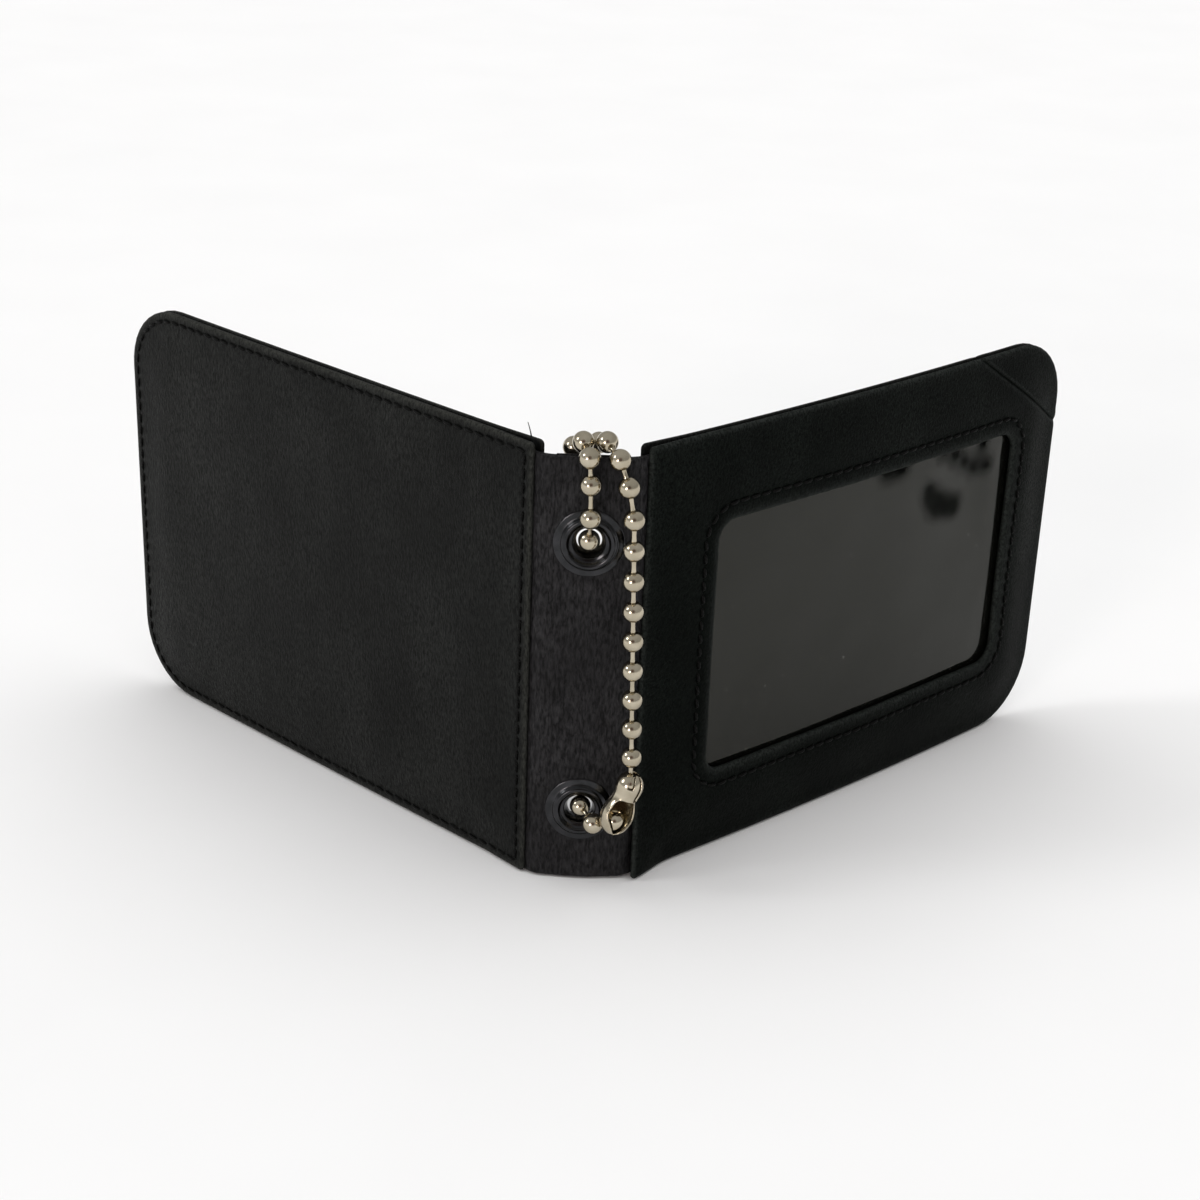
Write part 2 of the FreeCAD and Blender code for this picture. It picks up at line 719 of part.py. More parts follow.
def chain():
    """The ball chain: beads, links and the pressed connector that closes the loop."""
    beads = bead_centres(chain_route())
    last = len(beads) - 1
    shells = []
    for k, centre in enumerate(beads):
        neighbours = [beads[j] for j in (k - 1, k + 1) if 0 <= j <= last]
        shells.append(chain_bead(centre, neighbours))
    group("chain_beads", shells)
    group("chain_links", [chain_link(a, b) for a, b in zip(beads, beads[1:])])
    connector(beads[last], beads[0], beads[last - 1])


def connector(lower, upper, side_bead):
    """A pressed sleeve over both end beads: a bead goes in at the front, and a slot lets its link out."""
    length = (upper - lower).Length
    axis = along(lower, upper)
    sideways = side_bead - lower
    sideways = sideways - axis * sideways.dot(axis)
    placement = FreeCAD.Placement(lower, FreeCAD.Rotation(sideways, Vector(), axis, "ZXY"))
    front = placement.Rotation.inverted().multVec(Vector(0, -1, 0))
    front.z = 0
    radius = value("connector_radius")
    slot_width = value("connector_slot")

    def capsule(size):
        ends = [Part.makeSphere(size), Part.makeSphere(size, Vector(0, 0, length))]
        return Part.makeCylinder(size, length).fuse(ends)

    sleeve = capsule(radius).cut(capsule(radius - value("connector_wall")))
    slot = Part.makeBox(radius, slot_width, radius + length / 2, Vector(0, -slot_width / 2, -radius))
    entry_middle = Vector(0, 0, value("connector_entry_height"))
    entry = Part.makeCylinder(value("bead_radius"), radius, entry_middle, front)
    mouth = Part.makeCylinder(value("connector_mouth_radius"), radius, Vector(0, 0, length))
    feature = doc.addObject("Part::Feature", "chain_connector")
    feature.Shape = sleeve.cut([slot, entry, mouth])
    feature.Placement = placement
    nodes.append(feature)


def write_parts():
    """Check every object and write each node's shape."""
    doc.recompute()
    for item in doc.Objects:
        if {"Invalid", "Error"} & set(item.State):
            raise RuntimeError(f"{item.Label} failed to compute: {item.State}")
    os.makedirs("parts", exist_ok=True)
    for node in nodes:
        shape = node.Shape
        if shape.isNull() or not shape.isValid() or not shape.Solids:
            raise RuntimeError(f"{node.Label} has no valid solid")
        shape.exportStep(f"parts/{node.Label}.step")
        print(f"{node.Label}: {len(shape.Solids)} solids, {shape.Volume:.2f} mm3")


left_leaf()
right_leaf()
spine()
chain()
write_parts()
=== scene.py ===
"""Id badge wallet: leather leaves with clear windows, a soft spine, a snap and a ball chain.

Sizes are in millimetres until a mesh is made. A leaf has its own coordinates: along it from the fold, up,
and out from its middle plane towards the inside of the wallet.
"""
import json
import math
from collections import Counter

import bmesh
import bpy
import numpy as np
from mathutils import Matrix, Vector


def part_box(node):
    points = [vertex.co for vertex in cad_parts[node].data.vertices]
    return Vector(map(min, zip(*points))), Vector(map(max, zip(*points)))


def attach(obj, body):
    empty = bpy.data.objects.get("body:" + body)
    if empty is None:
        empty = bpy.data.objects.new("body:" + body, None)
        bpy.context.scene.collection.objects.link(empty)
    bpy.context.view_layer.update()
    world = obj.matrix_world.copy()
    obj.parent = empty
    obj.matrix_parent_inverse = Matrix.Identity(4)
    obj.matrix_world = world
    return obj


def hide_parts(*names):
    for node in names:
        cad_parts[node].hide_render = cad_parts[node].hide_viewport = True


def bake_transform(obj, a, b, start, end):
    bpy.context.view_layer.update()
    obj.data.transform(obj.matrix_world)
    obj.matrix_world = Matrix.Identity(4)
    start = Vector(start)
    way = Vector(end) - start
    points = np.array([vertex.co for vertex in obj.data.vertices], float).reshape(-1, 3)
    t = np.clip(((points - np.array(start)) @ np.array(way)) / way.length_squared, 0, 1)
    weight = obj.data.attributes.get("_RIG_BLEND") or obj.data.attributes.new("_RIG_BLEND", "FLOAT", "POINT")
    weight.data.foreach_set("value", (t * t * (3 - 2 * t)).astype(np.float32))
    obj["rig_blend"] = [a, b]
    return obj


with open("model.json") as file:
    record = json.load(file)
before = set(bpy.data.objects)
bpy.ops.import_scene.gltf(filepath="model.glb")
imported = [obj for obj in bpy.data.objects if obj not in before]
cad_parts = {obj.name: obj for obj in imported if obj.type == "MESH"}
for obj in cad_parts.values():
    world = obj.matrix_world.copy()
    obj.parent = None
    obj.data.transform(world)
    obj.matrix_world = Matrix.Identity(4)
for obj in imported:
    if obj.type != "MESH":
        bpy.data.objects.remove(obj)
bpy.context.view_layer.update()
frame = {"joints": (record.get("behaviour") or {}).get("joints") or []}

MM = 0.001
WELD = 1e-7
SEED = 7

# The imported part
FOLD = next(joint for joint in frame["joints"] if joint["child"] == "right_leaf")
PIVOT = FOLD["pos_m"][0] / MM
OPEN_ANGLE = math.radians(-FOLD["range_deg"][0])
OPEN_COS = math.cos(OPEN_ANGLE)
OPEN_SIN = math.sin(OPEN_ANGLE)
LEAF_START = 1.3
LEAF_WIDTH = 94.5
LEAF_END = LEAF_START + LEAF_WIDTH
LEAF_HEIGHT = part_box("left_outer_cover")[1].z / MM
LEAF_CORNER = 12.0
SPINE_CORNER = 0.8
SPINE_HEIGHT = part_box("spine_outer")[1].z / MM
SPINE_DEPTH = 0.9
SPINE_JOINT = 0.2
WINDOW_CORNER = 3.0
WINDOWS = {
    "left": (14.3, 14.0, 82.8, 56.0),
    "right_inner": (15.3, 14.8, 81.8, 55.2),
    "right_outer": (14.7, 14.2, 82.4, 55.8),
}
PATCH_LOW = (LEAF_END, 54.5)
PATCH_HIGH = (72.8, LEAF_HEIGHT)
EDGE_SEAM = 2.3
COVER_SEAM = 1.5
WINDOW_SEAM = 2.8
SNAP = (86.6, 35.0)
EYELETS = {"lower": 11.9, "upper": SPINE_HEIGHT - 13.0}
BEAD_RADIUS = 1.6
BEAD_PITCH = 4.8
LINK_RADIUS = 0.34

# Points along an outline's long sides, short sides and corners, and round a turned piece
LONG = 72
SHORT = 48
ARC = 10
TURN_STEPS = 96

# Random waves: how many are added up, and how far their lengths differ
WAVES = 6
WAVE_STRETCH = (0.7, 1.5)


# Lines and meshes

def smooth(share):
    """Smooth step from 0 to 1."""
    share = np.clip(share, 0.0, 1.0)
    return share * share * (3.0 - 2.0 * share)


def ripple(a, b, length, seed):
    """Gentle random waves over two coordinates, between about -1 and 1."""
    rng = np.random.default_rng(SEED + seed)
    turns = rng.uniform(0.0, math.pi, WAVES)
    phases = rng.uniform(0.0, math.tau, WAVES)
    stretches = rng.uniform(*WAVE_STRETCH, WAVES)
    total = np.zeros(np.broadcast(a, b).shape)
    for turn, phase, stretch in zip(turns, phases, stretches):
        total += np.sin((a * math.cos(turn) + b * math.sin(turn)) * math.tau * stretch / length + phase)
    return total / (WAVES / 2)


def waves(a, b, layers, seed):
    """Random waves of several heights and lengths together."""
    return sum(height * ripple(a, b, length, seed + step) for height, length, step in layers)


def rounded_loop(left, bottom, right, top, radii):
    """Points round a rectangle with rounded corners, anticlockwise from its bottom left."""
    corners = np.array([(left, bottom), (right, bottom), (right, top), (left, top)])
    ahead = np.array([(1, 0), (0, 1), (-1, 0), (0, -1)])
    points = []
    for k, radius in enumerate(radii):
        after = (k + 1) % 4
        angles = math.pi + (k + np.linspace(0.0, 1.0, ARC, endpoint=False)) * math.pi / 2
        centre = corners[k] + radius * (ahead[k] - ahead[k - 1])
        points.append(centre + radius * np.stack([np.cos(angles), np.sin(angles)], axis=-1))
        start = corners[k] + radius * ahead[k]
        finish = corners[after] - radii[after] * ahead[k]
        points.append(np.linspace(start, finish, SHORT if k % 2 else LONG, endpoint=False))
    return np.concatenate(points)


def curve_profile(points, steps):
    """A smooth line through profile points."""
    points = np.array(points, float)
    ends = np.concatenate([2 * points[:1] - points[1:2], points, 2 * points[-1:] - points[-2:-1]])
    line = []
    for a, b, c, d in zip(ends, ends[1:], ends[2:], ends[3:]):
        for t in np.linspace(0.0, 1.0, steps, endpoint=False):
            line.append(0.5 * (
                2 * b + (c - a) * t + (2 * a - 5 * b + 4 * c - d) * t**2 + (3 * b - a - 3 * c + d) * t**3
            ))
    return np.array(line + [points[-1]])


def ring_faces(rows, count, closed):
    """Quads between rows of points, each row a closed ring."""
    faces = []
    for row in range(rows if closed else rows - 1):
        low = row * count
        high = (row + 1) % rows * count
        for k in range(count):
            after = (k + 1) % count
            faces.append((low + k, low + after, high + after, high + k))
    return faces


def tube(centres, radii, first, second, sides):
    """A round thread with flat ends, whose rings lie in the plane of two directions."""
    rows = len(centres)
    turn = np.linspace(0.0, math.tau, sides, endpoint=False)[:, None]
    ring = np.cos(turn) * first + np.sin(turn) * second
    points = centres[:, None] + radii[:, None, None] * ring
    ends = [tuple(range(sides))[::-1], tuple(range((rows - 1) * sides, rows * sides))]
    return points.reshape(-1, 3), ring_faces(rows, sides, False) + ends


def slab(front, back):
    """A closed sheet from two grids of points that face each other."""
    rows, columns = front.shape[:2]
    size = rows * columns
    index = np.arange(size).reshape(rows, columns)
    quads = np.stack([index[:-1, :-1], index[:-1, 1:], index[1:, 1:], index[1:, :-1]], axis=-1)
    quads = quads.reshape(-1, 4)
    border = np.concatenate([index[0], index[1:, -1], index[-1, -2::-1], index[-2:0:-1, 0]])
    after = np.roll(border, -1)
    walls = np.stack([after, border, border + size, after + size], axis=-1)
    faces = np.concatenate([quads, quads[:, ::-1] + size, walls]).tolist()
    return np.concatenate([front.reshape(-1, 3), back.reshape(-1, 3)]), [tuple(face) for face in faces]


def lathe(profile):
    """Radii, angles, heights and faces of a turned profile, closed unless it starts on the axis."""
    angles = np.linspace(0.0, math.tau, TURN_STEPS, endpoint=False)
    radius, height = np.repeat(profile, TURN_STEPS, axis=0).T
    faces = ring_faces(len(profile), TURN_STEPS, profile[0][0] > 0.0)
    return radius, np.tile(angles, len(profile)), height, faces


def merge(parts):
    """Several meshes as one."""
    points, faces, offset = [], [], 0
    for part_points, part_faces in parts:
        points.append(part_points)
        faces += [tuple(k + offset for k in face) for face in part_faces]
        offset += len(part_points)
    return np.concatenate(points), faces


def unpack(shape):
    """Points and faces of an edited mesh, which is then freed."""
    shape.verts.index_update()
    points = np.array([vertex.co for vertex in shape.verts])
    faces = [tuple(vertex.index for vertex in face.verts) for face in shape.faces]
    shape.free()
    return points, faces


def add_object(name, data):
    """A new object in the scene."""
    new = bpy.data.objects.new(name, data)
    bpy.context.scene.collection.objects.link(new)
    return new


def add_piece(name, points, faces, material, body, slot, nodes, wear_and_highlight=None, sharp=None):
    """A mesh piece that rides on a body and stands for CAD nodes."""
    mesh = bpy.data.meshes.new(name)
    mesh.from_pydata((np.asarray(points) * MM).tolist(), [], faces)
    if wear_and_highlight is not None:
        mesh.attributes.new("wear_and_highlight", "FLOAT", "POINT").data.foreach_set("value", np.asarray(wear_and_highlight, np.float32))
    shape = bmesh.new()
    shape.from_mesh(mesh)
    bmesh.ops.remove_doubles(shape, verts=shape.verts, dist=WELD)
    loose = [vertex for vertex in shape.verts if not vertex.link_faces]
    bmesh.ops.delete(shape, geom=loose, context="VERTS")
    bmesh.ops.recalc_face_normals(shape, faces=shape.faces)
    shape.to_mesh(mesh)
    shape.free()
    mesh.shade_smooth()
    if sharp is not None:
        mesh.set_sharp_from_angle(angle=math.radians(sharp))
    mesh.materials.append(material)
    piece = add_object(name, mesh)
    if body is not None:
        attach(piece, body)
    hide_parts(*nodes)
    return piece


# Materials

class Graph:
    """The nodes of one material or of the world, each added and linked in one call."""

    def __init__(self, owner):
        owner.use_nodes = True
        self.owner = owner
        self.tree = owner.node_tree

    def add(self, kind, inputs=(), **settings):
        node = self.tree.nodes.new(f"ShaderNode{kind}")
        for key, setting in settings.items():
            setattr(node, key, setting)
        for key, source in dict(inputs).items():
            self.feed(node, key, source)
        return node

    def feed(self, node, key, source):
        if isinstance(source, bpy.types.NodeSocket):
            self.tree.links.new(source, node.inputs[key])
        else:
            node.inputs[key].default_value = source

    def shade(self, **inputs):
        """The finished material, with the shader's own sockets set by name."""
        for key, source in inputs.items():
            self.feed(self.tree.nodes["Principled BSDF"], key.replace("_", " "), source)
        return self.owner

    def millimetres(self, stretch=(1.0, 1.0, 1.0)):
        """The object's own coordinates in millimetres, stretched."""
        place = self.add("TexCoord").outputs["Object"]
        scale = tuple(1.0 / (MM * factor) for factor in stretch)
        return self.add("Mapping", {"Vector": place, "Scale": scale}).outputs["Vector"]

    def leaf_place(self):
        """A leaf's own flat coordinates in millimetres."""
        return self.add("UVMap", uv_map="leaf").outputs["UV"]

    def noise(self, vector, scale, detail=4.0, roughness=0.55, distortion=0.0, output="Fac"):
        inputs = {"Vector": vector, "Scale": scale, "Detail": detail, "Roughness": roughness}
        return self.add("TexNoise", {**inputs, "Distortion": distortion}).outputs[output]

    def range(self, source, span, onto=(0.0, 1.0)):
        """A value carried from one span onto another, and kept inside it."""
        sockets = ("Value", "From Min", "From Max", "To Min", "To Max")
        return self.add("MapRange", zip(sockets, (source, *span, *onto))).outputs["Result"]

    def math(self, operation, a, b=0.0):
        return self.add("Math", {0: a, 1: b}, operation=operation).outputs[0]

    def times(self, a, b):
        return self.math("MULTIPLY", a, b)

    def colours(self, source, first, last, start=0.0):
        """From one colour to another as a value goes from a start to 1."""
        ramp = self.add("ValToRGB", {"Fac": source})
        elements = ramp.color_ramp.elements
        elements[0].position = start
        elements[0].color = (*first, 1.0)
        elements[1].color = (*last, 1.0)
        return ramp.outputs["Color"]

    def bump(self, height, strength, distance):
        inputs = {"Height": height, "Strength": strength, "Distance": distance * MM}
        return self.add("Bump", inputs).outputs["Normal"]


def leather_material(name, dark, light, edge, tint, gloss, scale, stretch, relief):
    """Black grained leather: upright streaks, stronger in patches, and lighter edges that are partly real
    wear and partly painted highlight.
    """
    graph = Graph(bpy.data.materials.new(name))
    fibre = graph.noise(graph.millimetres((1.0, 1.0, stretch)), scale, roughness=0.6, distortion=0.4)
    clouds = graph.noise(graph.millimetres((1.0, 1.0, 1.8)), 0.07)
    depth = graph.range(clouds, (0.35, 0.65), (0.4, 1.0))
    tone = graph.times(graph.range(fibre, (0.36, 0.68)), depth)
    base = graph.colours(tone, dark, light)
    # Lighter edges: partly real wear, partly a painted highlight along rims and window lips.
    wear_and_highlight = graph.add("Attribute", attribute_name="wear_and_highlight").outputs["Fac"]
    wear_and_highlight_share = graph.times(wear_and_highlight, graph.range(fibre, (0.4, 0.6), (0.3, 1.0)))
    colour = graph.add("Mix", {"Factor": wear_and_highlight_share, 6: base, 7: (*edge, 1.0)}, data_type="RGBA").outputs[2]
    return graph.shade(
        Base_Color=colour,
        Roughness=graph.range(tone, (0.0, 1.0), (0.58, 0.44)),
        Normal=graph.bump(fibre, 1.0, relief),
        Specular_IOR_Level=gloss,
        Specular_Tint=(*tint, 1.0),
    )


def thread_material():
    """Waxed black thread with its twist."""
    graph = Graph(bpy.data.materials.new("waxed_thread"))
    inputs = {"Vector": graph.millimetres(), "Scale": 1.1, "Distortion": 1.5, "Detail": 2.0}
    twist = graph.add("TexWave", inputs, wave_type="BANDS", bands_direction="DIAGONAL").outputs["Fac"]
    return graph.shade(
        Base_Color=graph.colours(twist, (0.001, 0.0011, 0.001), (0.0045, 0.0048, 0.0043)),
        Roughness=graph.range(twist, (0.0, 1.0), (0.42, 0.56)),
        Normal=graph.bump(twist, 0.5, 0.08),
        Specular_IOR_Level=0.07,
    )


# Painted dark reflection on the outer film, where it is made clearer so the dark sheet behind shows: along,
# up and radius of each place
PAINTED_DARK_SPOTS = [
    (62.7, 49.2, 2.3), (65.0, 46.9, 2.8), (67.4, 45.9, 2.4), (69.7, 45.5, 2.0),
    (51.7, 55.9, 2.4), (54.8, 55.6, 2.2),
    (65.8, 56.2, 2.0), (68.6, 54.4, 1.8), (71.4, 52.8, 1.8), (74.2, 51.4, 1.9), (77.0, 50.9, 1.7),
    (75.4, 54.6, 1.7),
]
DARK_SPOT_STRAY = 1.6
DARK_SPOT_SOFT = 1.25
DARK_SPOT_SEE = 0.04
DUST = (0.16, 0.16, 0.15)


def vinyl_material(name, tint, alpha, haze, gloss=0.5, dark_spots=()):
    """Clear soft sheet: glossy and hazy, with scratches and dust, and made clearer in spots so the dark
    sheet behind shows as a painted dark reflection.
    """
    graph = Graph(bpy.data.materials.new(name))
    place = graph.millimetres()
    blotch = graph.noise(place, 0.05, detail=3.0, roughness=0.6)
    upright = graph.millimetres((0.35, 0.35, 12.0))
    lines = graph.noise(upright, 0.9, detail=2.0, roughness=0.5, distortion=1.5)
    patches = graph.range(blotch, (0.5, 0.6))
    scratches = graph.times(graph.range(lines, (0.71, 0.76)), patches)
    specks = graph.noise(place, 1.1, detail=1.0, roughness=0.4)
    marks = graph.math("MAXIMUM", scratches, graph.range(specks, (0.755, 0.79)))
    clouded = graph.range(blotch, (0.3, 0.7), (alpha - haze, alpha + haze))
    see = graph.math("MAXIMUM", clouded, graph.times(marks, 0.7))
    stray = graph.noise(place, 0.24, detail=1.0, roughness=0.5, output="Color")
    inputs = {0: stray, 1: (DARK_SPOT_STRAY, DARK_SPOT_STRAY, 0.0), 2: graph.leaf_place()}
    strayed = graph.add("VectorMath", inputs, operation="MULTIPLY_ADD").outputs["Vector"]
    # Painted dark reflection: round each spot the film lets more of the dark sheet behind show.
    for along, up, radius in dark_spots:
        centre = (along + DARK_SPOT_STRAY / 2, up + DARK_SPOT_STRAY / 2, 0.0)
        reach = graph.add("VectorMath", {0: strayed, 1: centre}, operation="DISTANCE").outputs["Value"]
        edge = (radius - DARK_SPOT_SOFT, radius + DARK_SPOT_SOFT)
        see = graph.times(see, graph.range(reach, edge, (DARK_SPOT_SEE, 1.0)))
    return graph.shade(
        Base_Color=graph.colours(graph.times(marks, 0.5), tint, DUST),
        Roughness=graph.range(blotch, (0.3, 0.7), (0.04, 0.1)),
        Alpha=see,
        IOR=1.5,
        Specular_IOR_Level=gloss,
        Specular_Tint=(1.0, 1.0, 0.88, 1.0),
    )


DOT_PITCH = 1.35
DOT_EDGE = (0.13, 0.2)


def lining_material(name, ground, dot, strength):
    """Pressed non-woven lining with staggered pale dots."""
    graph = Graph(bpy.data.materials.new(name))
    place = graph.add("SeparateXYZ", {"Vector": graph.leaf_place()}).outputs
    rows = graph.times(place["Y"], 2.0 / DOT_PITCH)
    shift = graph.times(graph.math("MODULO", graph.math("FLOOR", rows), 2.0), 0.5)
    columns = graph.math("ADD", graph.times(place["X"], 1.0 / DOT_PITCH), shift)
    dx = graph.math("SUBTRACT", graph.math("FRACT", columns), 0.5)
    dy = graph.times(graph.math("SUBTRACT", graph.math("FRACT", rows), 0.5), 0.5)
    square = graph.math("ADD", graph.times(dx, dx), graph.times(dy, dy))
    round_dot = graph.range(graph.math("SQRT", square), DOT_EDGE, (1.0, 0.0))
    fibres = graph.noise(graph.millimetres(), 2.2, detail=5.0, roughness=0.7)
    spot = graph.times(round_dot, graph.range(fibres, (0.35, 0.6), (0.35, 1.0)))
    fuzz = graph.range(fibres, (0.35, 0.7), (0.0, 0.18))
    mixed = graph.math("ADD", graph.times(spot, strength), fuzz)
    return graph.shade(
        Base_Color=graph.colours(mixed, ground, dot),
        Roughness=graph.range(fibres, (0.3, 0.7), (0.75, 0.95)),
        Normal=graph.bump(graph.math("SUBTRACT", fibres, spot), 0.5, 0.08),
    )


def metal_material(name, colour, shade, roughness, scratch):
    """Plated metal with faint handling marks."""
    graph = Graph(bpy.data.materials.new(name))
    fine = graph.noise(graph.millimetres((1.0, 1.0, 0.3)), 2.0, detail=5.0, roughness=0.7)
    clouds = graph.noise(graph.millimetres(), 0.5, detail=3.0, roughness=0.5)
    tone = graph.range(clouds, (0.35, 0.65))
    return graph.shade(
        Base_Color=graph.colours(tone, shade, colour),
        Metallic=1.0,
        Roughness=graph.range(fine, (0.35, 0.65), (roughness - 0.04, roughness + 0.06)),
        Normal=graph.bump(fine, scratch, 0.02),
    )


# Edge colours: partly worn raw edge, partly a painted highlight along rims and window lips.
COVER_LEATHER = leather_material(
    "cover_leather", dark=(0.0012, 0.0013, 0.0012), light=(0.0168, 0.0178, 0.0166),
    edge=(0.03, 0.031, 0.027), tint=(0.97, 1.0, 0.97), gloss=0.085, scale=3.0, stretch=2.4, relief=0.2,
)
# Right outer frame: smoother leather, made darker partly as painted shade for the light that falls from the
# left.
SHADED_FRAME_LEATHER = leather_material(
    "frame_leather", dark=(0.0004, 0.0006, 0.0005), light=(0.0062, 0.0084, 0.0068),
    edge=(0.024, 0.027, 0.025), tint=(0.85, 1.0, 0.88), gloss=0.034, scale=2.8, stretch=1.3, relief=0.16,
)
SPINE_LEATHER = leather_material(
    "spine_leather", dark=(0.0016, 0.0016, 0.0017), light=(0.033, 0.032, 0.0336),
    edge=(0.034, 0.034, 0.032), tint=(1.0, 0.98, 1.0), gloss=0.12, scale=2.4, stretch=3.2, relief=0.24,
)
THREAD = thread_material()
CLEAR = vinyl_material("clear_vinyl", (0.012, 0.012, 0.011), alpha=0.22, haze=0.04)
# The outer film carries the painted dark reflection spots.
SMOKED = vinyl_material(
    "outer_vinyl", (0.004, 0.0043, 0.0034), alpha=0.8, haze=0.03, gloss=0.37, dark_spots=PAINTED_DARK_SPOTS,
)
BACKING = vinyl_material("divider_film", (0.003, 0.0037, 0.003), alpha=1.0, haze=0.0, gloss=0.012)
DOTTED = lining_material("dotted_lining", (0.016, 0.0165, 0.016), (0.34, 0.34, 0.32), strength=0.9)
FAINT = lining_material("left_dotted_lining", (0.012, 0.012, 0.0115), (0.1, 0.095, 0.09), strength=0.7)
NICKEL = metal_material(
    "chain_nickel", (0.52, 0.465, 0.36), (0.43, 0.38, 0.285), roughness=0.15, scratch=0.2,
)
POLISHED = metal_material(
    "polished_nickel", (0.72, 0.68, 0.6), (0.64, 0.6, 0.52), roughness=0.13, scratch=0.12,
)
GUNMETAL = metal_material(
    "black_nickel", (0.045, 0.045, 0.048), (0.028, 0.029, 0.03), roughness=0.19, scratch=0.2,
)
MAGNET = metal_material("magnet_grey", (0.3, 0.3, 0.31), (0.22, 0.22, 0.23), roughness=0.45, scratch=0.6)


# Leaf coordinates

BOW = {"left": 0.25, "right": 1.3}


def leaf_points(side, along, up, out):
    """Points of a leaf in the shared frame, bowed outwards in its middle."""
    share = np.clip((along - LEAF_START) / LEAF_WIDTH, 0.0, 1.0)
    out = out - BOW[side] * 4.0 * share * (1.0 - share)
    x = PIVOT + along * OPEN_COS - out * OPEN_SIN
    y = along * OPEN_SIN + out * OPEN_COS
    return np.stack([x if side == "right" else -x, y, up + np.zeros_like(x)], axis=-1)


def leaf_inset(along, up):
    """Distance in from a leaf's outer, lower and upper edges with their round corners."""
    half = LEAF_HEIGHT / 2
    reach_along = along - (LEAF_END - LEAF_CORNER)
    reach_up = np.abs(up - half) - (half - LEAF_CORNER)
    outside = np.hypot(np.maximum(reach_along, 0.0), np.maximum(reach_up, 0.0))
    return LEAF_CORNER - outside - np.minimum(np.maximum(reach_along, reach_up), 0.0)


def leaf_loop(inset):
    """A leaf's outline moved in by an inset."""
    near = max(SPINE_CORNER - inset, 0.0)
    far = max(LEAF_CORNER - inset, 0.0)
    right = LEAF_END - inset
    return rounded_loop(LEAF_START + inset, inset, right, LEAF_HEIGHT - inset, (near, far, far, near))


def window_loop(name, offset):
    """A window's outline moved out by an offset."""
    left, bottom, right, top = WINDOWS[name]
    radius = WINDOW_CORNER + offset
    return rounded_loop(left - offset, bottom - offset, right + offset, top + offset, (radius,) * 4)


# Leathers of a leaf: where the two draw together, and their waves as height, length and seed
PINCH_REACH = 10.0
EDGE_BACK = 0.1
MOUTH_BACK = 0.3
MOUTH_DEPTH = 14.0
MOUTH_REACH = 10.0
SPINE_BACK = 0.6
SKIVE = 0.15
LEATHER_WAVES = [(0.07, 34.0, 0), (0.025, 11.0, 1)]

# The raw corner that lifts off the spine, at the bottom of the right leaf
CURL = 1.2
CURL_LEAN = 0.8
CURL_WIDTH = 7.0
CURL_HEIGHT = 15.0


class Plate:
    """A leather of a leaf: its side, the way it faces, its back's place, its thickness and lifted corner."""

    def __init__(self, side, facing, back, thickness, seed, curl=0.0):
        self.side = side
        self.facing = facing
        self.back = back
        self.thickness = thickness
        self.seed = seed
        self.curl = curl

    def points(self, along, up, height):
        """Points at a height above the back, which is drawn to the other leather at the edges."""
        near_edge = smooth(1.0 - leaf_inset(along, up) / PINCH_REACH)
        near_spine = smooth(1.0 - (along - LEAF_START) / PINCH_REACH)
        near_mouth = smooth((up - LEAF_HEIGHT + MOUTH_DEPTH) / MOUTH_REACH)
        edge_back = EDGE_BACK + (MOUTH_BACK - EDGE_BACK) * near_mouth
        edge_back = edge_back + (SPINE_BACK - edge_back) * near_spine
        sewn = np.maximum(near_edge, near_spine)
        back = self.back + (edge_back - self.back) * sewn
        waving = waves(along, up, LEATHER_WAVES, self.seed) * (1.0 - sewn)
        level = back + waving + height * (1.0 - SKIVE * near_edge)
        corner = self.curl * smooth(1.0 - (along - LEAF_START) / CURL_WIDTH) * smooth(1.0 - up / CURL_HEIGHT)
        return leaf_points(self.side, along - CURL_LEAN * corner, up, self.facing * (level + corner))


# A seam's groove in a leather: offset from the seam, depth, and edge wear with painted highlight
SEAM_DEPTH = 0.2
GROOVE = [
    (0.9, 0.0, 0.0), (0.4, 0.03, 0.0), (0.2, 0.12, 0.0), (0.0, SEAM_DEPTH, 0.0),
    (-0.2, 0.12, 0.0), (-0.4, 0.02, 0.1),
]

# Rings of a leather: insets and shares of the way where its face and back are plain
PLAIN_EDGE = (3.2, 1.8)
FRAME_SWELL = 0.04
FRAME_STEPS = (0.2, 0.4, 0.6, 0.8)
FRAME_BACK_STEPS = (0.33, 0.67)
COVER_INSETS = (32.0, 28.0, 24.0, 20.0, 16.5, 13.5, 11.0, 9.0, 7.0, 5.5, 4.2, 3.2)
COVER_BACK_INSETS = (4.0, 12.0, 24.0)


def turned_rows(thickness):
    """Rows round a leather's cut edge: inset, height, and edge wear with painted highlight."""
    top = thickness
    return [
        (0.85, top, 0.1), (0.45, top - 0.05, 0.5), (0.2, top - 0.16, 1.0), (0.05, top - 0.34, 1.0),
        (0.0, top * 0.4, 0.6), (0.06, top * 0.12, 0.3), (0.25, 0.0, 0.0),
    ]


def edge_rows(thickness, seam):
    """Rows over a sewn outer edge, from the face round to the back: inset, height, and edge wear with
    painted highlight.
    """
    rows = [(seam + offset, thickness - depth, wear_and_highlight) for offset, depth, wear_and_highlight in GROOVE]
    return rows + turned_rows(thickness)


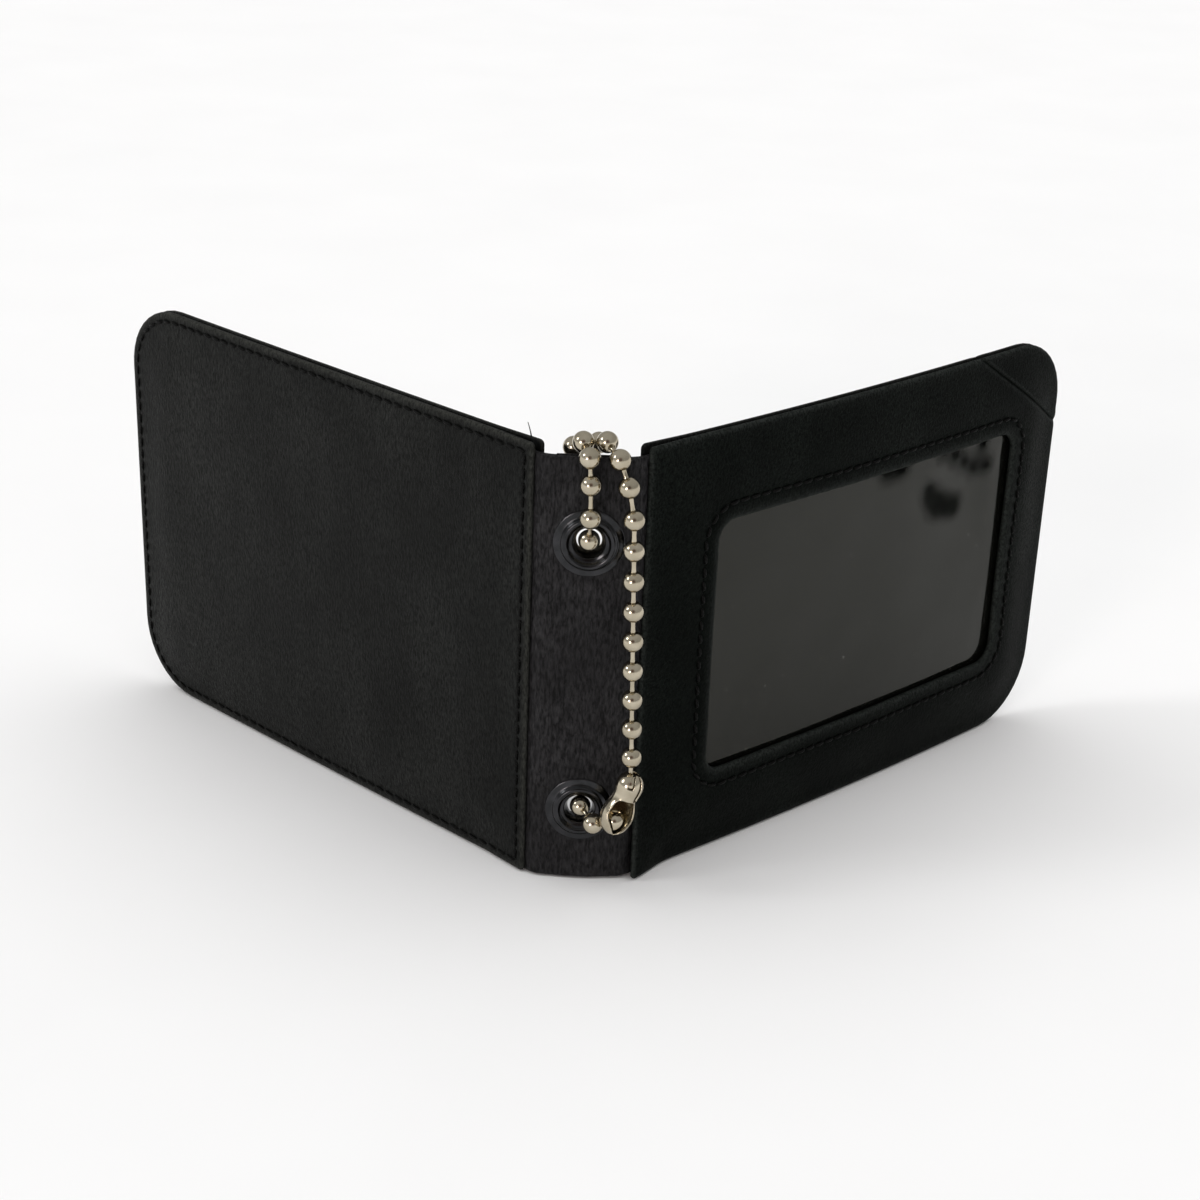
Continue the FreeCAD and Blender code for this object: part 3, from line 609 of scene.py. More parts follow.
def lip_rows(thickness):
    """Rows over a window's lip and seam, from the back to the face: offset, height, and edge wear with
    painted highlight.
    """
    top = thickness
    return [
        (1.0, 0.0, 0.0), (0.25, 0.0, 0.0), (0.06, 0.15, 0.2), (0.0, top * 0.45, 0.6),
        (0.08, top * 0.75, 1.0), (0.3, top + 0.02, 0.9), (0.7, top + 0.14, 0.4), (1.3, top + 0.16, 0.1),
        (2.0, top + 0.06, 0.0),
        (2.4, top - 0.03, 0.0), (2.6, top - 0.12, 0.0), (2.8, top - SEAM_DEPTH, 0.0), (3.0, top - 0.12, 0.0),
        (3.2, top - 0.03, 0.0), (3.5, top, 0.0),
    ]


def frame_rings(window, thickness, sewn_edge):
    """Rings of a windowed leather: a loop, its height, and its edge wear with painted highlight."""
    if sewn_edge:
        edges = edge_rows(thickness, EDGE_SEAM)
    else:
        edges = [(inset, thickness, 0.0) for inset in PLAIN_EDGE] + turned_rows(thickness)
    rings = [(window_loop(window, offset), height, wear_and_highlight) for offset, height, wear_and_highlight in lip_rows(thickness)]
    start = rings[-1][0]
    finish = leaf_loop(edges[0][0])
    rings += [(start + (finish - start) * t, thickness + FRAME_SWELL, 0.0) for t in FRAME_STEPS]
    rings += [(leaf_loop(inset), height, wear_and_highlight) for inset, height, wear_and_highlight in edges]
    start = rings[-1][0]
    finish = rings[0][0]
    rings += [(start + (finish - start) * t, 0.0, 0.0) for t in FRAME_BACK_STEPS]
    return rings


def cover_rings(thickness):
    """Rings of a plain leather, from the middle of its face round to the middle of its back."""
    middle = LEAF_HEIGHT / 2
    rings = [(leaf_loop(inset), thickness, 0.0) for inset in (middle, *COVER_INSETS)]
    rings += [(leaf_loop(inset), height, wear_and_highlight) for inset, height, wear_and_highlight in edge_rows(thickness, COVER_SEAM)]
    rings += [(leaf_loop(inset), 0.0, 0.0) for inset in (*COVER_BACK_INSETS, middle)]
    return rings


# The corner patch: the gap at its diagonal, the dip there, its raised rim and its worn line
PATCH_GAP = 0.04
PATCH_CUTS = (1.4, 0.8, 0.45, 0.2)
PATCH_DIP = 0.3
PATCH_SPREAD = 0.4
PATCH_LIFT = 0.12
PATCH_LIFT_PLACE = 1.0
PATCH_LIFT_WIDTH = 1.2
PATCH_WEAR = 0.6
PATCH_WEAR_PLACE = 0.45
PATCH_WEAR_WIDTH = 0.25


def patch_distance(along, up):
    """Distance onto the corner patch from its diagonal, and the direction that way."""
    run = np.subtract(PATCH_HIGH, PATCH_LOW)
    normal = np.array([run[1], -run[0]]) / np.hypot(*run)
    return (along - PATCH_LOW[0]) * normal[0] + (up - PATCH_LOW[1]) * normal[1], normal


def plate_mesh(rings, closed, part):
    """A leather's mesh in leaf coordinates, or its part on one side of the patch's diagonal."""
    mesh = bmesh.new()
    layer = mesh.verts.layers.float.new("wear_and_highlight")
    for loop, height, wear_and_highlight in rings:
        for point in loop:
            mesh.verts.new((*point, height))[layer] = wear_and_highlight
    mesh.verts.ensure_lookup_table()
    for face in ring_faces(len(rings), len(rings[0][0]), closed):
        mesh.faces.new([mesh.verts[k] for k in face])
    if part is None:
        return mesh
    _, normal = patch_distance(*PATCH_LOW)
    across = Vector((*normal, 0.0))
    foot = Vector((*PATCH_LOW, 0.0))
    sign = 1.0 if part == "patch" else -1.0

    def cut(offset, **cleared):
        whole = mesh.verts[:] + mesh.edges[:] + mesh.faces[:]
        place = foot + across * sign * offset
        bmesh.ops.bisect_plane(mesh, geom=whole, plane_co=place, plane_no=across, **cleared)

    for offset in PATCH_CUTS:
        cut(offset)
    cut(PATCH_GAP, clear_inner=part == "patch", clear_outer=part != "patch")
    bmesh.ops.holes_fill(mesh, edges=[edge for edge in mesh.edges if edge.is_boundary], sides=0)
    return mesh


def leather_piece(name, plate, rings, closed, material, nodes, part=None):
    """A leather of a leaf, shaped in leaf coordinates and laid in its place."""
    shape = plate_mesh(rings, closed, part)
    layer = shape.verts.layers.float["wear_and_highlight"]
    wear_and_highlight = np.array([vertex[layer] for vertex in shape.verts])
    flat, faces = unpack(shape)
    along, up, height = flat.T
    if part is not None:
        distance, _ = patch_distance(along, up)
        share = height / plate.thickness
        rise = -PATCH_DIP * np.exp(-((distance / PATCH_SPREAD) ** 2))
        if part == "patch":
            rise = rise + PATCH_LIFT * smooth(1.0 - np.abs(distance - PATCH_LIFT_PLACE) / PATCH_LIFT_WIDTH)
        height = height + share * rise
        from_line = (np.abs(distance) - PATCH_WEAR_PLACE) / PATCH_WEAR_WIDTH
        wear_and_highlight = np.maximum(wear_and_highlight, PATCH_WEAR * share * np.exp(-(from_line**2)))
    points = plate.points(along, up, height)
    return add_piece(name, points, faces, material, f"{plate.side}_leaf", "leather", nodes, wear_and_highlight)


# Seams
STITCH_PITCH = 2.15
STITCH_LENGTH = 1.75
STITCH_RADIUS = 0.25
STITCH_SLANT = math.radians(7.0)
STITCH_WANDER = 0.03
STITCH_RISE = 0.1
STITCH_DIVE = 0.3
STITCH_TAPER = 0.75
STITCH_SEAT = STITCH_RADIUS * 0.6
STITCH_STEPS = 9
STITCH_SIDES = 10
HEADING_STEP = 0.4
SNAP_CLEARANCE = 7.2

# The frayed end of a thread: its foot, and how it leans, rises and thins
TAIL_RADIUS = 0.14
TAIL_TAPER = 0.6
TAIL_FOOT = 3.4
TAIL_LEAN = 1.1
TAIL_ROOT = 1.0
TAIL_RISE = 1.9
TAIL_LEVEL = 0.2
TAIL_LIFT = 0.3
TAIL_STEPS = 10
TAIL_SIDES = 8


def walk(loop, pitch):
    """Even steps along a closed line: places, and the angles at which the line goes on."""
    closed = np.concatenate([loop, loop[:1]])
    travelled = np.concatenate([[0.0], np.cumsum(np.hypot(*np.diff(closed, axis=0).T))])
    whole = travelled[-1]
    count = max(1, round(whole / pitch))
    stations = (np.arange(count) + 0.5) * whole / count

    def at(distances):
        return np.stack([np.interp(distances, travelled, closed[:, k]) for k in (0, 1)], axis=-1)

    places = at(stations)
    ahead = at((stations + HEADING_STEP) % whole) - places
    return places, np.arctan2(ahead[:, 1], ahead[:, 0])


def stitch_shape():
    """One stitch: a short thread that arches out of the leather and back."""
    s = np.linspace(-1.0, 1.0, STITCH_STEPS)
    rise = STITCH_RISE - STITCH_DIVE * np.abs(s) ** 3
    centres = np.stack([s * STITCH_LENGTH / 2, 0.0 * s, rise], axis=-1)
    radii = STITCH_RADIUS * np.sqrt(1.0 - STITCH_TAPER * s**6)
    return tube(centres, radii, (0.0, 1.0, 0.0), (0.0, 0.0, 1.0), STITCH_SIDES)


def thread_tail(plate):
    """The frayed thread end that stands up between the leathers at the top of a leaf."""
    s = np.linspace(0.0, 1.0, TAIL_STEPS)
    up = LEAF_HEIGHT - TAIL_ROOT + (TAIL_ROOT + TAIL_RISE) * s
    centres = np.stack([TAIL_FOOT + TAIL_LEAN * s**1.5, up, TAIL_LEVEL + TAIL_LIFT * s], axis=-1)
    radii = TAIL_RADIUS * (1.0 - TAIL_TAPER * s)
    points, faces = tube(centres, radii, (1.0, 0.0, 0.0), (0.0, 0.0, 1.0), TAIL_SIDES)
    return plate.points(*points.T), faces


def stitch_row(name, plate, loop, node, by_snap=False, tail=False):
    """A seam's row of stitches in the groove of a leather, with a gap where it goes by the snap."""
    places, angles = walk(loop, STITCH_PITCH)
    if by_snap:
        chosen = np.hypot(*(places - SNAP).T) > SNAP_CLEARANCE
        places = places[chosen]
        angles = angles[chosen]
    shape, faces = stitch_shape()
    rng = np.random.default_rng(SEED + len(name))
    angles = angles + STITCH_SLANT + rng.normal(0.0, STITCH_WANDER, len(places))
    cos = np.cos(angles)[:, None]
    sin = np.sin(angles)[:, None]
    x, y, z = shape.T
    along = places[:, :1] + cos * x - sin * y
    up = places[:, 1:] + sin * x + cos * y
    height = plate.thickness - SEAM_DEPTH + STITCH_SEAT + z + np.zeros_like(along)
    points = plate.points(along.ravel(), up.ravel(), height.ravel())
    threads = [(stitch, faces) for stitch in points.reshape(len(places), -1, 3)]
    if tail:
        threads.append(thread_tail(plate))
    return add_piece(name, *merge(threads), THREAD, f"{plate.side}_leaf", "thread", [node])


# Thin sheets, with their waves as share of the slack, length and seed, and a lining's cut size
FILM_THICKNESS = 0.15
LINING_THICKNESS = 0.2
FILM_INSET = 4.0
FILM_RINGS = 30
FILM_WAVES = [(0.75, 30.0, 0), (0.35, 13.0, 3)]
FILM_REACH = 7.0
FILM_PINCH = 0.8

# Dents of the outer film: along, up, width and depth
OUTER_DENTS = [(71.0, 49.0, 8.0, -0.45), (80.0, 52.0, 3.0, 0.3), (62.0, 53.5, 3.0, 0.25)]


def film(name, window, level, slack, material, slot, node, thickness=FILM_THICKNESS, dents=()):
    """A thin sheet inside a leaf's seams, with its own waves and dents in the window."""
    side = window.split("_")[0]
    rings = [leaf_loop(inset) for inset in np.linspace(LEAF_HEIGHT / 2, FILM_INSET, FILM_RINGS)]
    along, up = np.concatenate(rings).T
    left, bottom, right, top = WINDOWS[window]
    inside = np.minimum(np.minimum(along - left, right - along), np.minimum(up - bottom, top - up))
    swell = waves(along, up, FILM_WAVES, len(name))
    for dent_along, dent_up, width, depth in dents:
        reach = ((along - dent_along) ** 2 + (up - dent_up) ** 2) / width**2
        swell = swell - depth / slack * np.exp(-reach)
    near_edge = smooth(1.0 - np.minimum(leaf_inset(along, up), along - LEAF_START) / PINCH_REACH)
    middle = level * (1.0 - FILM_PINCH * near_edge) + slack * smooth(inside / FILM_REACH) * swell
    front = leaf_points(side, along, up, middle + thickness / 2)
    back = leaf_points(side, along, up, middle - thickness / 2)
    count = len(rings[0])
    backwards = back.reshape(FILM_RINGS, count, 3)[::-1].reshape(-1, 3)
    faces = ring_faces(2 * FILM_RINGS, count, False)
    points = np.concatenate([front, backwards])
    return flat_map(add_piece(name, points, faces, material, f"{side}_leaf", slot, [node]), side)


def flat_map(piece, side):
    """Lay a leaf's own flat coordinates on a piece, in millimetres."""
    places = np.zeros(3 * len(piece.data.vertices))
    piece.data.vertices.foreach_get("co", places)
    x, y, z = places.reshape(-1, 3).T / MM
    along = (x if side == "right" else -x) - PIVOT
    along = along * OPEN_COS + y * OPEN_SIN
    corners = np.zeros(len(piece.data.loops), int)
    piece.data.loops.foreach_get("vertex_index", corners)
    layer = piece.data.uv_layers.new(name="leaf")
    layer.data.foreach_set("uv", np.stack([along, z], axis=-1)[corners].ravel())
    return piece


# Snap: turned profiles, as radius and height above the leather
SNAP_SHARP = 40
SOCKET_RIM = [(6.55, -0.1), (6.7, 0.3), (6.72, 1.2), (6.66, 1.9), (6.45, 2.32), (6.0, 2.48), (5.4, 2.5)]
SOCKET_THROAT = [(3.5, 2.5), (3.2, 2.46), (2.9, 2.3), (2.62, 2.12), (2.5, 1.9), (2.5, 1.7)]
SOCKET_BORE = [(2.75, 1.7), (2.75, -0.1)]
MAGNET_CUP = [
    (0.0, -0.05), (2.72, -0.05), (2.72, 1.65), (2.62, 1.65), (2.62, 0.4), (1.1, 0.4), (1.0, 0.45),
    (0.0, 0.45),
]
STUD_PLATE = [(6.1, -0.1), (6.2, 0.2), (6.2, 0.55), (6.05, 0.85), (5.7, 0.98), (5.2, 1.0)]
STUD = [(2.9, 1.0), (2.3, 1.06), (2.05, 1.25), (2.0, 1.6), (2.0, 2.4), (1.9, 2.7), (1.6, 2.86), (1.0, 2.9)]
STUD_FOOT = (0.0, -0.1)
STUD_TOP = (0.0, 2.9)


def snap_piece(name, plate, profile, material, slot, nodes):
    """A turned piece of the snap, standing on a leather's face."""
    radius, angle, height, faces = lathe(profile)
    along = SNAP[0] + radius * np.cos(angle)
    up = SNAP[1] + radius * np.sin(angle)
    points = leaf_points(plate.side, along, up, plate.back + plate.thickness + height)
    return add_piece(name, points, faces, material, f"{plate.side}_leaf", slot, nodes, sharp=SNAP_SHARP)


def left_leaf():
    cover = Plate("left", -1, back=0.8, thickness=1.0, seed=11)
    inner = Plate("left", 1, back=0.8, thickness=1.0, seed=17)
    nodes = ["left_outer_cover", "left_stiffener"]
    leather_piece("left_cover_leather", cover, cover_rings(cover.thickness), False, COVER_LEATHER, nodes)
    stitch_row("left_cover_stitches", cover, leaf_loop(COVER_SEAM), "left_cover_thread")
    rings = frame_rings("left", inner.thickness, True)
    nodes = ["left_inner_frame", "left_pocket_edge"]
    leather_piece("left_frame_leather", inner, rings, True, COVER_LEATHER, nodes)
    stitch_row("left_edge_stitches", inner, leaf_loop(EDGE_SEAM), "left_frame_edge_thread", tail=True)
    seam = window_loop("left", WINDOW_SEAM)
    stitch_row("left_window_stitches", inner, seam, "left_window_thread", by_snap=True)
    lining = film(
        "left_lining", "left", level=-0.3, slack=0.05, material=FAINT,
        slot="pocket_lining", node="left_pocket_lining", thickness=LINING_THICKNESS,
    )
    film(
        "left_window_film", "left", level=0.7, slack=0.32, material=CLEAR,
        slot="clear_vinyl", node="left_window_sheet",
    )
    cup = [*curve_profile(SOCKET_RIM, 5), *curve_profile(SOCKET_THROAT, 4), *SOCKET_BORE]
    snap_piece("snap_socket_cup", inner, cup, POLISHED, "snap_metal", ["snap_socket_cover"])
    nodes = ["snap_magnet", "snap_socket_base", "snap_socket_washer"]
    snap_piece("snap_socket_magnet", inner, MAGNET_CUP, MAGNET, "magnet", nodes)


def right_leaf():
    outer = Plate("right", -1, back=1.2, thickness=0.9, seed=23, curl=CURL)
    inner = Plate("right", 1, back=1.2, thickness=0.9, seed=31)
    # The outer frame takes the darker leather, which is partly painted shade.
    for plate, name, leather in ((outer, "outer", SHADED_FRAME_LEATHER), (inner, "inner", COVER_LEATHER)):
        window = f"right_{name}"
        rings = frame_rings(window, plate.thickness, name == "inner")
        nodes = {"frame": [f"{window}_frame", f"{window}_pocket_edge"], "patch": [f"{window}_corner_patch"]}
        for part, stands_for in nodes.items():
            leather_piece(f"{window}_{part}_leather", plate, rings, True, leather, stands_for, part)
        seam = window_loop(window, WINDOW_SEAM)
        stitch_row(f"{window}_stitches", plate, seam, f"{window}_window_thread", by_snap=name == "inner")
    stitch_row("right_edge_stitches", inner, leaf_loop(EDGE_SEAM), "right_frame_edge_thread")
    lining = film(
        "right_lining", "right_inner", level=0.1, slack=0.05, material=DOTTED,
        slot="pocket_lining", node="right_divider_lining", thickness=LINING_THICKNESS,
    )
    film(
        "right_backing", "right_outer", level=-0.12, slack=0.05, material=BACKING,
        slot="divider_sheet", node="right_divider_sheet",
    )
    film(
        "right_inner_film", "right_inner", level=1.1, slack=0.3, material=CLEAR,
        slot="clear_vinyl", node="right_inner_window_sheet",
    )
    film(
        "right_outer_film", "right_outer", level=-0.85, slack=0.1, material=SMOKED,
        slot="clear_vinyl", node="right_outer_window_sheet", dents=OUTER_DENTS,
    )
    plate = [STUD_FOOT, *curve_profile(STUD_PLATE, 5), *curve_profile(STUD, 5), STUD_TOP]
    snap_piece("snap_stud_plate", inner, plate, POLISHED, "snap_metal", ["snap_stud", "snap_stud_washer"])


# Spine: the flat panel, its crown and wrinkles, and the folds at its sides
PANEL_HALF = 5.0
PANEL_COLUMNS = 81
PANEL_ROWS = 400
PANEL_PLY_GAP = 0.02
CUT_EDGE_ROUND = 0.5
CUT_EDGE_LEAST = 0.02
END_ROWS = (0.0, 0.05, 0.15, 0.3, 0.5)
END_REACH = 0.8
SPINE_CROWN = 0.35
CROWN_REACH = 4.0
WRINKLE = 0.04
WRINKLE_LENGTH = 12.0
WRINKLE_STRETCH = 3.0
WRINKLE_SEED = 41
WRINKLE_REACH = 2.0
FOLD_REACH = 1.4
FOLD_ROWS = 140
FOLD_TURNS = 13
FLANGE_END = 5.0
FLANGE_HALF = 0.5
FLANGE_THINS_FROM = 6
EYELET_FLANGE = 5.2
EYELET_HOLE = 2.8
SPINE_SEAM = 2.2
SPINE_STITCHES = 5


def edge_profile(height):
    """Thickness share of the spine's leather, which rounds off at its cut ends."""
    inset = np.clip(np.minimum(height, SPINE_HEIGHT - height) / CUT_EDGE_ROUND, 0.0, 1.0)
    return np.sqrt(np.clip(1.0 - (1.0 - inset) ** 2, CUT_EDGE_LEAST, 1.0))


def spine_heights(count):
    """Heights up the spine, close together at its two ends."""
    middle = np.linspace(END_REACH, SPINE_HEIGHT - END_REACH, count)
    ends = np.array(END_ROWS)
    return np.concatenate([ends, middle, SPINE_HEIGHT - ends[::-1]])


def to_eyelet(across, up):
    """Distance from the middle of the nearer eyelet."""
    return np.min([np.hypot(across, up - height) for height in EYELETS.values()], axis=0)


def cut_holes(points, faces):
    """Cut round holes for the eyelets through a sheet that slab made, and wall them."""
    centres = np.array([points[list(face)].mean(axis=0) for face in faces])
    reach = to_eyelet(centres[:, 0], centres[:, 2])
    kept = [face for face, distance in zip(faces, reach) if distance > EYELET_HOLE]
    edges = [edge for face in kept for edge in zip(face, face[1:] + face[:1])]
    uses = Counter(frozenset(edge) for edge in edges)
    back = len(points) // 2
    rim = [edge for edge in edges if uses[frozenset(edge)] == 1 and max(edge) < back]
    for start, _ in rim:
        height = min(EYELETS.values(), key=lambda place: abs(points[start][2] - place))
        stretch = EYELET_HOLE / math.hypot(points[start][0], points[start][2] - height)
        for k in (start, start + back):
            points[k][0] *= stretch
            points[k][2] = height + (points[k][2] - height) * stretch
    return points, kept + [(b, a, a + back, b + back) for a, b in rim]


def spine_panel():
    """The strip between the folds: two leathers, pressed flat round the eyelets' holes."""
    columns = np.linspace(-PANEL_HALF, PANEL_HALF, PANEL_COLUMNS)
    across, up = np.meshgrid(columns, spine_heights(PANEL_ROWS))
    share = across / PANEL_HALF
    past_flange = to_eyelet(across, up) - EYELET_FLANGE
    crown = SPINE_CROWN * (1.0 - share**2) ** 2 * smooth(past_flange / CROWN_REACH)
    wrinkle = WRINKLE * ripple(across * WRINKLE_STRETCH, up, WRINKLE_LENGTH, WRINKLE_SEED)
    wrinkle = wrinkle * (1.0 - share**4) * smooth(past_flange / WRINKLE_REACH)
    thick = edge_profile(up)

    def ply(name, node, near, far, relief):
        middle = (near + far) / 2
        front = middle - thick * (middle - near) + relief
        back = middle + thick * (far - middle)
        sheet = slab(np.stack([across, front, up], axis=-1), np.stack([across, back, up], axis=-1))
        add_piece(name, *cut_holes(*sheet), SPINE_LEATHER, "spine", "leather", [node])

    ply("spine_leather", "spine_outer", -SPINE_DEPTH, SPINE_JOINT - PANEL_PLY_GAP, wrinkle - crown)
    ply("spine_inner_leather", "spine_lining", SPINE_JOINT + PANEL_PLY_GAP, SPINE_DEPTH, 0.0)


def spine_fold(side):
    """The leather that bends from the spine into a leaf, sewn in between its layers."""
    radius = FOLD_REACH / math.tan(OPEN_ANGLE / 2)
    flat = np.linspace(PANEL_HALF, PIVOT - FOLD_REACH, 3)[:-1]
    turns = np.linspace(0.0, OPEN_ANGLE, FOLD_TURNS)
    sewn = np.linspace(FOLD_REACH, FLANGE_END, 8)[1:]
    x = np.concatenate([flat, PIVOT - FOLD_REACH + radius * np.sin(turns), PIVOT + sewn * OPEN_COS])
    y = np.concatenate([flat * 0.0, radius * (1.0 - np.cos(turns)), sewn * OPEN_SIN])
    angle = np.concatenate([flat * 0.0, turns, sewn * 0.0 + OPEN_ANGLE])
    thinned = smooth((np.arange(len(x)) - FLANGE_THINS_FROM) / (len(x) - 1 - FLANGE_THINS_FROM))
    half = SPINE_DEPTH - (SPINE_DEPTH - FLANGE_HALF) * thinned
    heights = spine_heights(FOLD_ROWS)[:, None]
    sign = 1.0 if side == "right" else -1.0
    grids = []
    for face in (-1.0, 1.0):
        offset = face * half * edge_profile(heights)
        places = [sign * (x - offset * np.sin(angle)), y + offset * np.cos(angle), heights + 0.0 * offset]
        grids.append(np.stack(places, axis=-1))
    points, faces = slab(*grids)
    nodes = [f"{side}_spine_flange"]
    piece = add_piece(f"{side}_spine_fold", points, faces, SPINE_LEATHER, None, "leather", nodes)
    middle = SPINE_HEIGHT / 2
    start = Vector((sign * (PIVOT - FOLD_REACH), 0.0, middle)) * MM
    end = Vector((sign * (PIVOT + FOLD_REACH * OPEN_COS), FOLD_REACH * OPEN_SIN, middle)) * MM
    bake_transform(piece, "spine", f"{side}_leaf", start, end)


def spine_stitches():
    """Short seams across the lining at both ends of the spine."""
    shape, faces = stitch_shape()
    x, y, z = shape.T
    centres = (np.arange(SPINE_STITCHES) - (SPINE_STITCHES - 1) / 2) * STITCH_PITCH
    for name, height in (("lower", SPINE_SEAM), ("upper", SPINE_HEIGHT - SPINE_SEAM)):
        row = [(np.stack([x + centre, SPINE_DEPTH + z, height + y], axis=-1), faces) for centre in centres]
        nodes = [f"spine_{name}_thread"]
        add_piece(f"spine_{name}_stitches", *merge(row), THREAD, "spine", "thread", nodes)


# Eyelets: turned profiles, as radius and depth from the outside in
EYELET_SHARP = 50
EYELET_STEPS = 6
EYELET_DOME = [
    (4.9, -0.8), (5.2, -0.9), (5.16, -1.02), (4.9, -1.1), (4.5, -1.17), (4.2, -1.28), (4.0, -1.56),
    (3.75, -1.77), (3.5, -1.8), (3.25, -1.68), (3.05, -1.42), (2.85, -1.22), (2.6, -1.1), (2.38, -0.95),
    (2.16, -0.5), (1.94, 0.1), (1.86, 0.7),
]
EYELET_BARREL = [(2.3, 0.68), (2.6, -0.78)]
EYELET_RING = [
    (1.86, 0.7), (1.92, 0.95), (2.12, 1.22), (2.48, 1.42), (2.92, 1.46), (3.25, 1.3), (3.4, 1.0),
    (3.38, 0.85),
]


def eyelet(name, height):
    """A domed black eyelet outside, with its barrel, and a clinched bright ring inside."""
    def turned(label, profile, material, slot, node):
        radius, angle, depth, faces = lathe(profile)
        points = np.stack([radius * np.cos(angle), depth, height + radius * np.sin(angle)], axis=-1)
        add_piece(label, points, faces, material, "spine", slot, [node], sharp=EYELET_SHARP)

    dome = [*curve_profile(EYELET_DOME, EYELET_STEPS), *EYELET_BARREL]
    turned(f"{name}_eyelet_dome", dome, GUNMETAL, "eyelet_black", f"{name}_eyelet")
    ring = curve_profile(EYELET_RING, EYELET_STEPS)
    turned(f"{name}_eyelet_ring", ring, POLISHED, "eyelet_nickel", f"{name}_eyelet_washer")


# Ball chain
SPHERE_LEVELS = 4
DIMPLE = 0.16
DIMPLE_ANGLE = 0.3
DIMPLE_SOFT = 0.1
LINK_INSET = BEAD_RADIUS * 0.8
LINK_FLARE = 0.25
LINK_STEPS = 9
LINK_SIDES = 16


def chain_route():
    """Bead centres where the chain bends, from the connector's upper end round to its lower end."""
    low = np.array([0.0, 0.0, EYELETS["lower"]])
    high = np.array([0.0, 0.0, EYELETS["upper"]])
    top = np.array([0.0, 0.0, SPINE_HEIGHT])
    return [
        *(low + [(7.4, -4.9, 6.8), (7.4, -4.6, 11.1)]),
        *(top + [(6.3, -4.2, -7.9), (5.4, -3.8, -3.2), (4.0, -2.9, 0.6), (2.1, 0.4, 2.0)]),
        *(top + [(0.9, 4.2, 0.5), (-0.9, 7.2, -2.4), (-2.7, 4.0, -0.2)]),
        *(top + [(-1.3, 0.7, 1.8), (-0.3, -2.9, 0.7), (0.0, -3.1, -3.3)]),
        *(high + [(0.1, -3.4, 4.8), (0.0, -1.1, 0.5), (0.1, 3.3, -2.0)]),
        (high + low) / 2 + (0.0, 4.0, 0.0),
        *(low + [(0.1, 3.3, 2.0), (0.1, -0.6, 0.4), (2.1, -4.0, -0.7), (5.3, -5.6, 0.8)]),
    ]


def bead_centres(route):
    """Beads at the route's points, and evenly between points that lie several beads apart."""
    centres = [route[0]]
    for start, finish in zip(route, route[1:]):
        steps = max(1, round(np.linalg.norm(finish - start) / BEAD_PITCH))
        centres += [start + (finish - start) * (k / steps) for k in range(1, steps + 1)]
    return centres


def unit(vector):
    return vector / np.linalg.norm(vector)


def sphere_mesh():
    """Points and faces of a unit sphere of even triangles."""
    shape = bmesh.new()
    bmesh.ops.create_icosphere(shape, subdivisions=SPHERE_LEVELS, radius=1.0)
    return unpack(shape)


def bead_shape(sphere, centre, neighbours):
    """A bead with a pressed hole towards each link."""
    points, faces = sphere
    size = np.ones(len(points))
    for neighbour in neighbours:
        angle = np.arccos(np.clip(points @ unit(neighbour - centre), -1.0, 1.0))
        size -= DIMPLE * smooth((DIMPLE_ANGLE - angle) / DIMPLE_SOFT + 0.5)
    return centre + BEAD_RADIUS * points * size[:, None], faces


def link_shape(start, finish):
    """A short waisted wire between two beads."""
    axis = unit(finish - start)
    length = np.linalg.norm(finish - start)
    side = unit(np.cross(axis, (0.0, 0.0, 1.0) if abs(axis[2]) < 0.9 else (1.0, 0.0, 0.0)))
    centres = start + axis * np.linspace(LINK_INSET, length - LINK_INSET, LINK_STEPS)[:, None]
    radii = LINK_RADIUS * (1.0 + LINK_FLARE * np.linspace(-1.0, 1.0, LINK_STEPS) ** 2)
    return tube(centres, radii, side, np.cross(axis, side), LINK_SIDES)


def chain():
    beads = bead_centres(chain_route())
    last = len(beads) - 1
    sphere = sphere_mesh()
    shells = []
    for k, centre in enumerate(beads):
        shells.append(bead_shape(sphere, centre, [beads[j] for j in (k - 1, k + 1) if 0 <= j <= last]))
    add_piece("chain_bead_row", *merge(shells), NICKEL, "spine", "chain_nickel", ["chain_beads"])
    wires = [link_shape(a, b) for a, b in zip(beads, beads[1:])]
    add_piece("chain_link_row", *merge(wires), NICKEL, "spine", "chain_nickel", ["chain_links"])
    connector(beads[last], beads[0], beads[last - 1])


# The connector along its axis from the lower bead: place and radius, from its pointed tip to its round head
CONNECTOR_PROFILE = [
    (-2.1, 0.1), (-2.0, 0.7), (-1.6, 1.45), (-0.8, 2.1), (0.4, 2.42), (1.6, 2.45), (2.8, 2.2), (3.7, 1.92),
    (4.6, 1.85), (5.6, 2.0), (6.5, 2.02), (7.3, 1.75), (7.9, 1.25), (8.2, 0.85),
]
CONNECTOR_STEPS = 12
CONNECTOR_SIDES = 160
CONNECTOR_WALL = 0.26
RIM_ROUNDS = 10

# Its openings, in millimetres along it and radians round it
BELLY_TURN = 0.28
BELLY_TOP = 4.1
BELLY_MIDDLE = 1.2
BELLY_TIP = -1.75
BELLY_HALF = 1.02
THROAT_HALF = 0.24
THROAT_DEPTH = 0.3
TONGUE = (0.8, 2.1)
TONGUE_FOOT = 4.25
TONGUE_LIFT = 0.24
TONGUE_LEAD = 0.2
TONGUE_BEND = 0.4
SLIT_HALF = 0.06
HOOK_HALF = 0.14
EXIT_HALF = 0.26


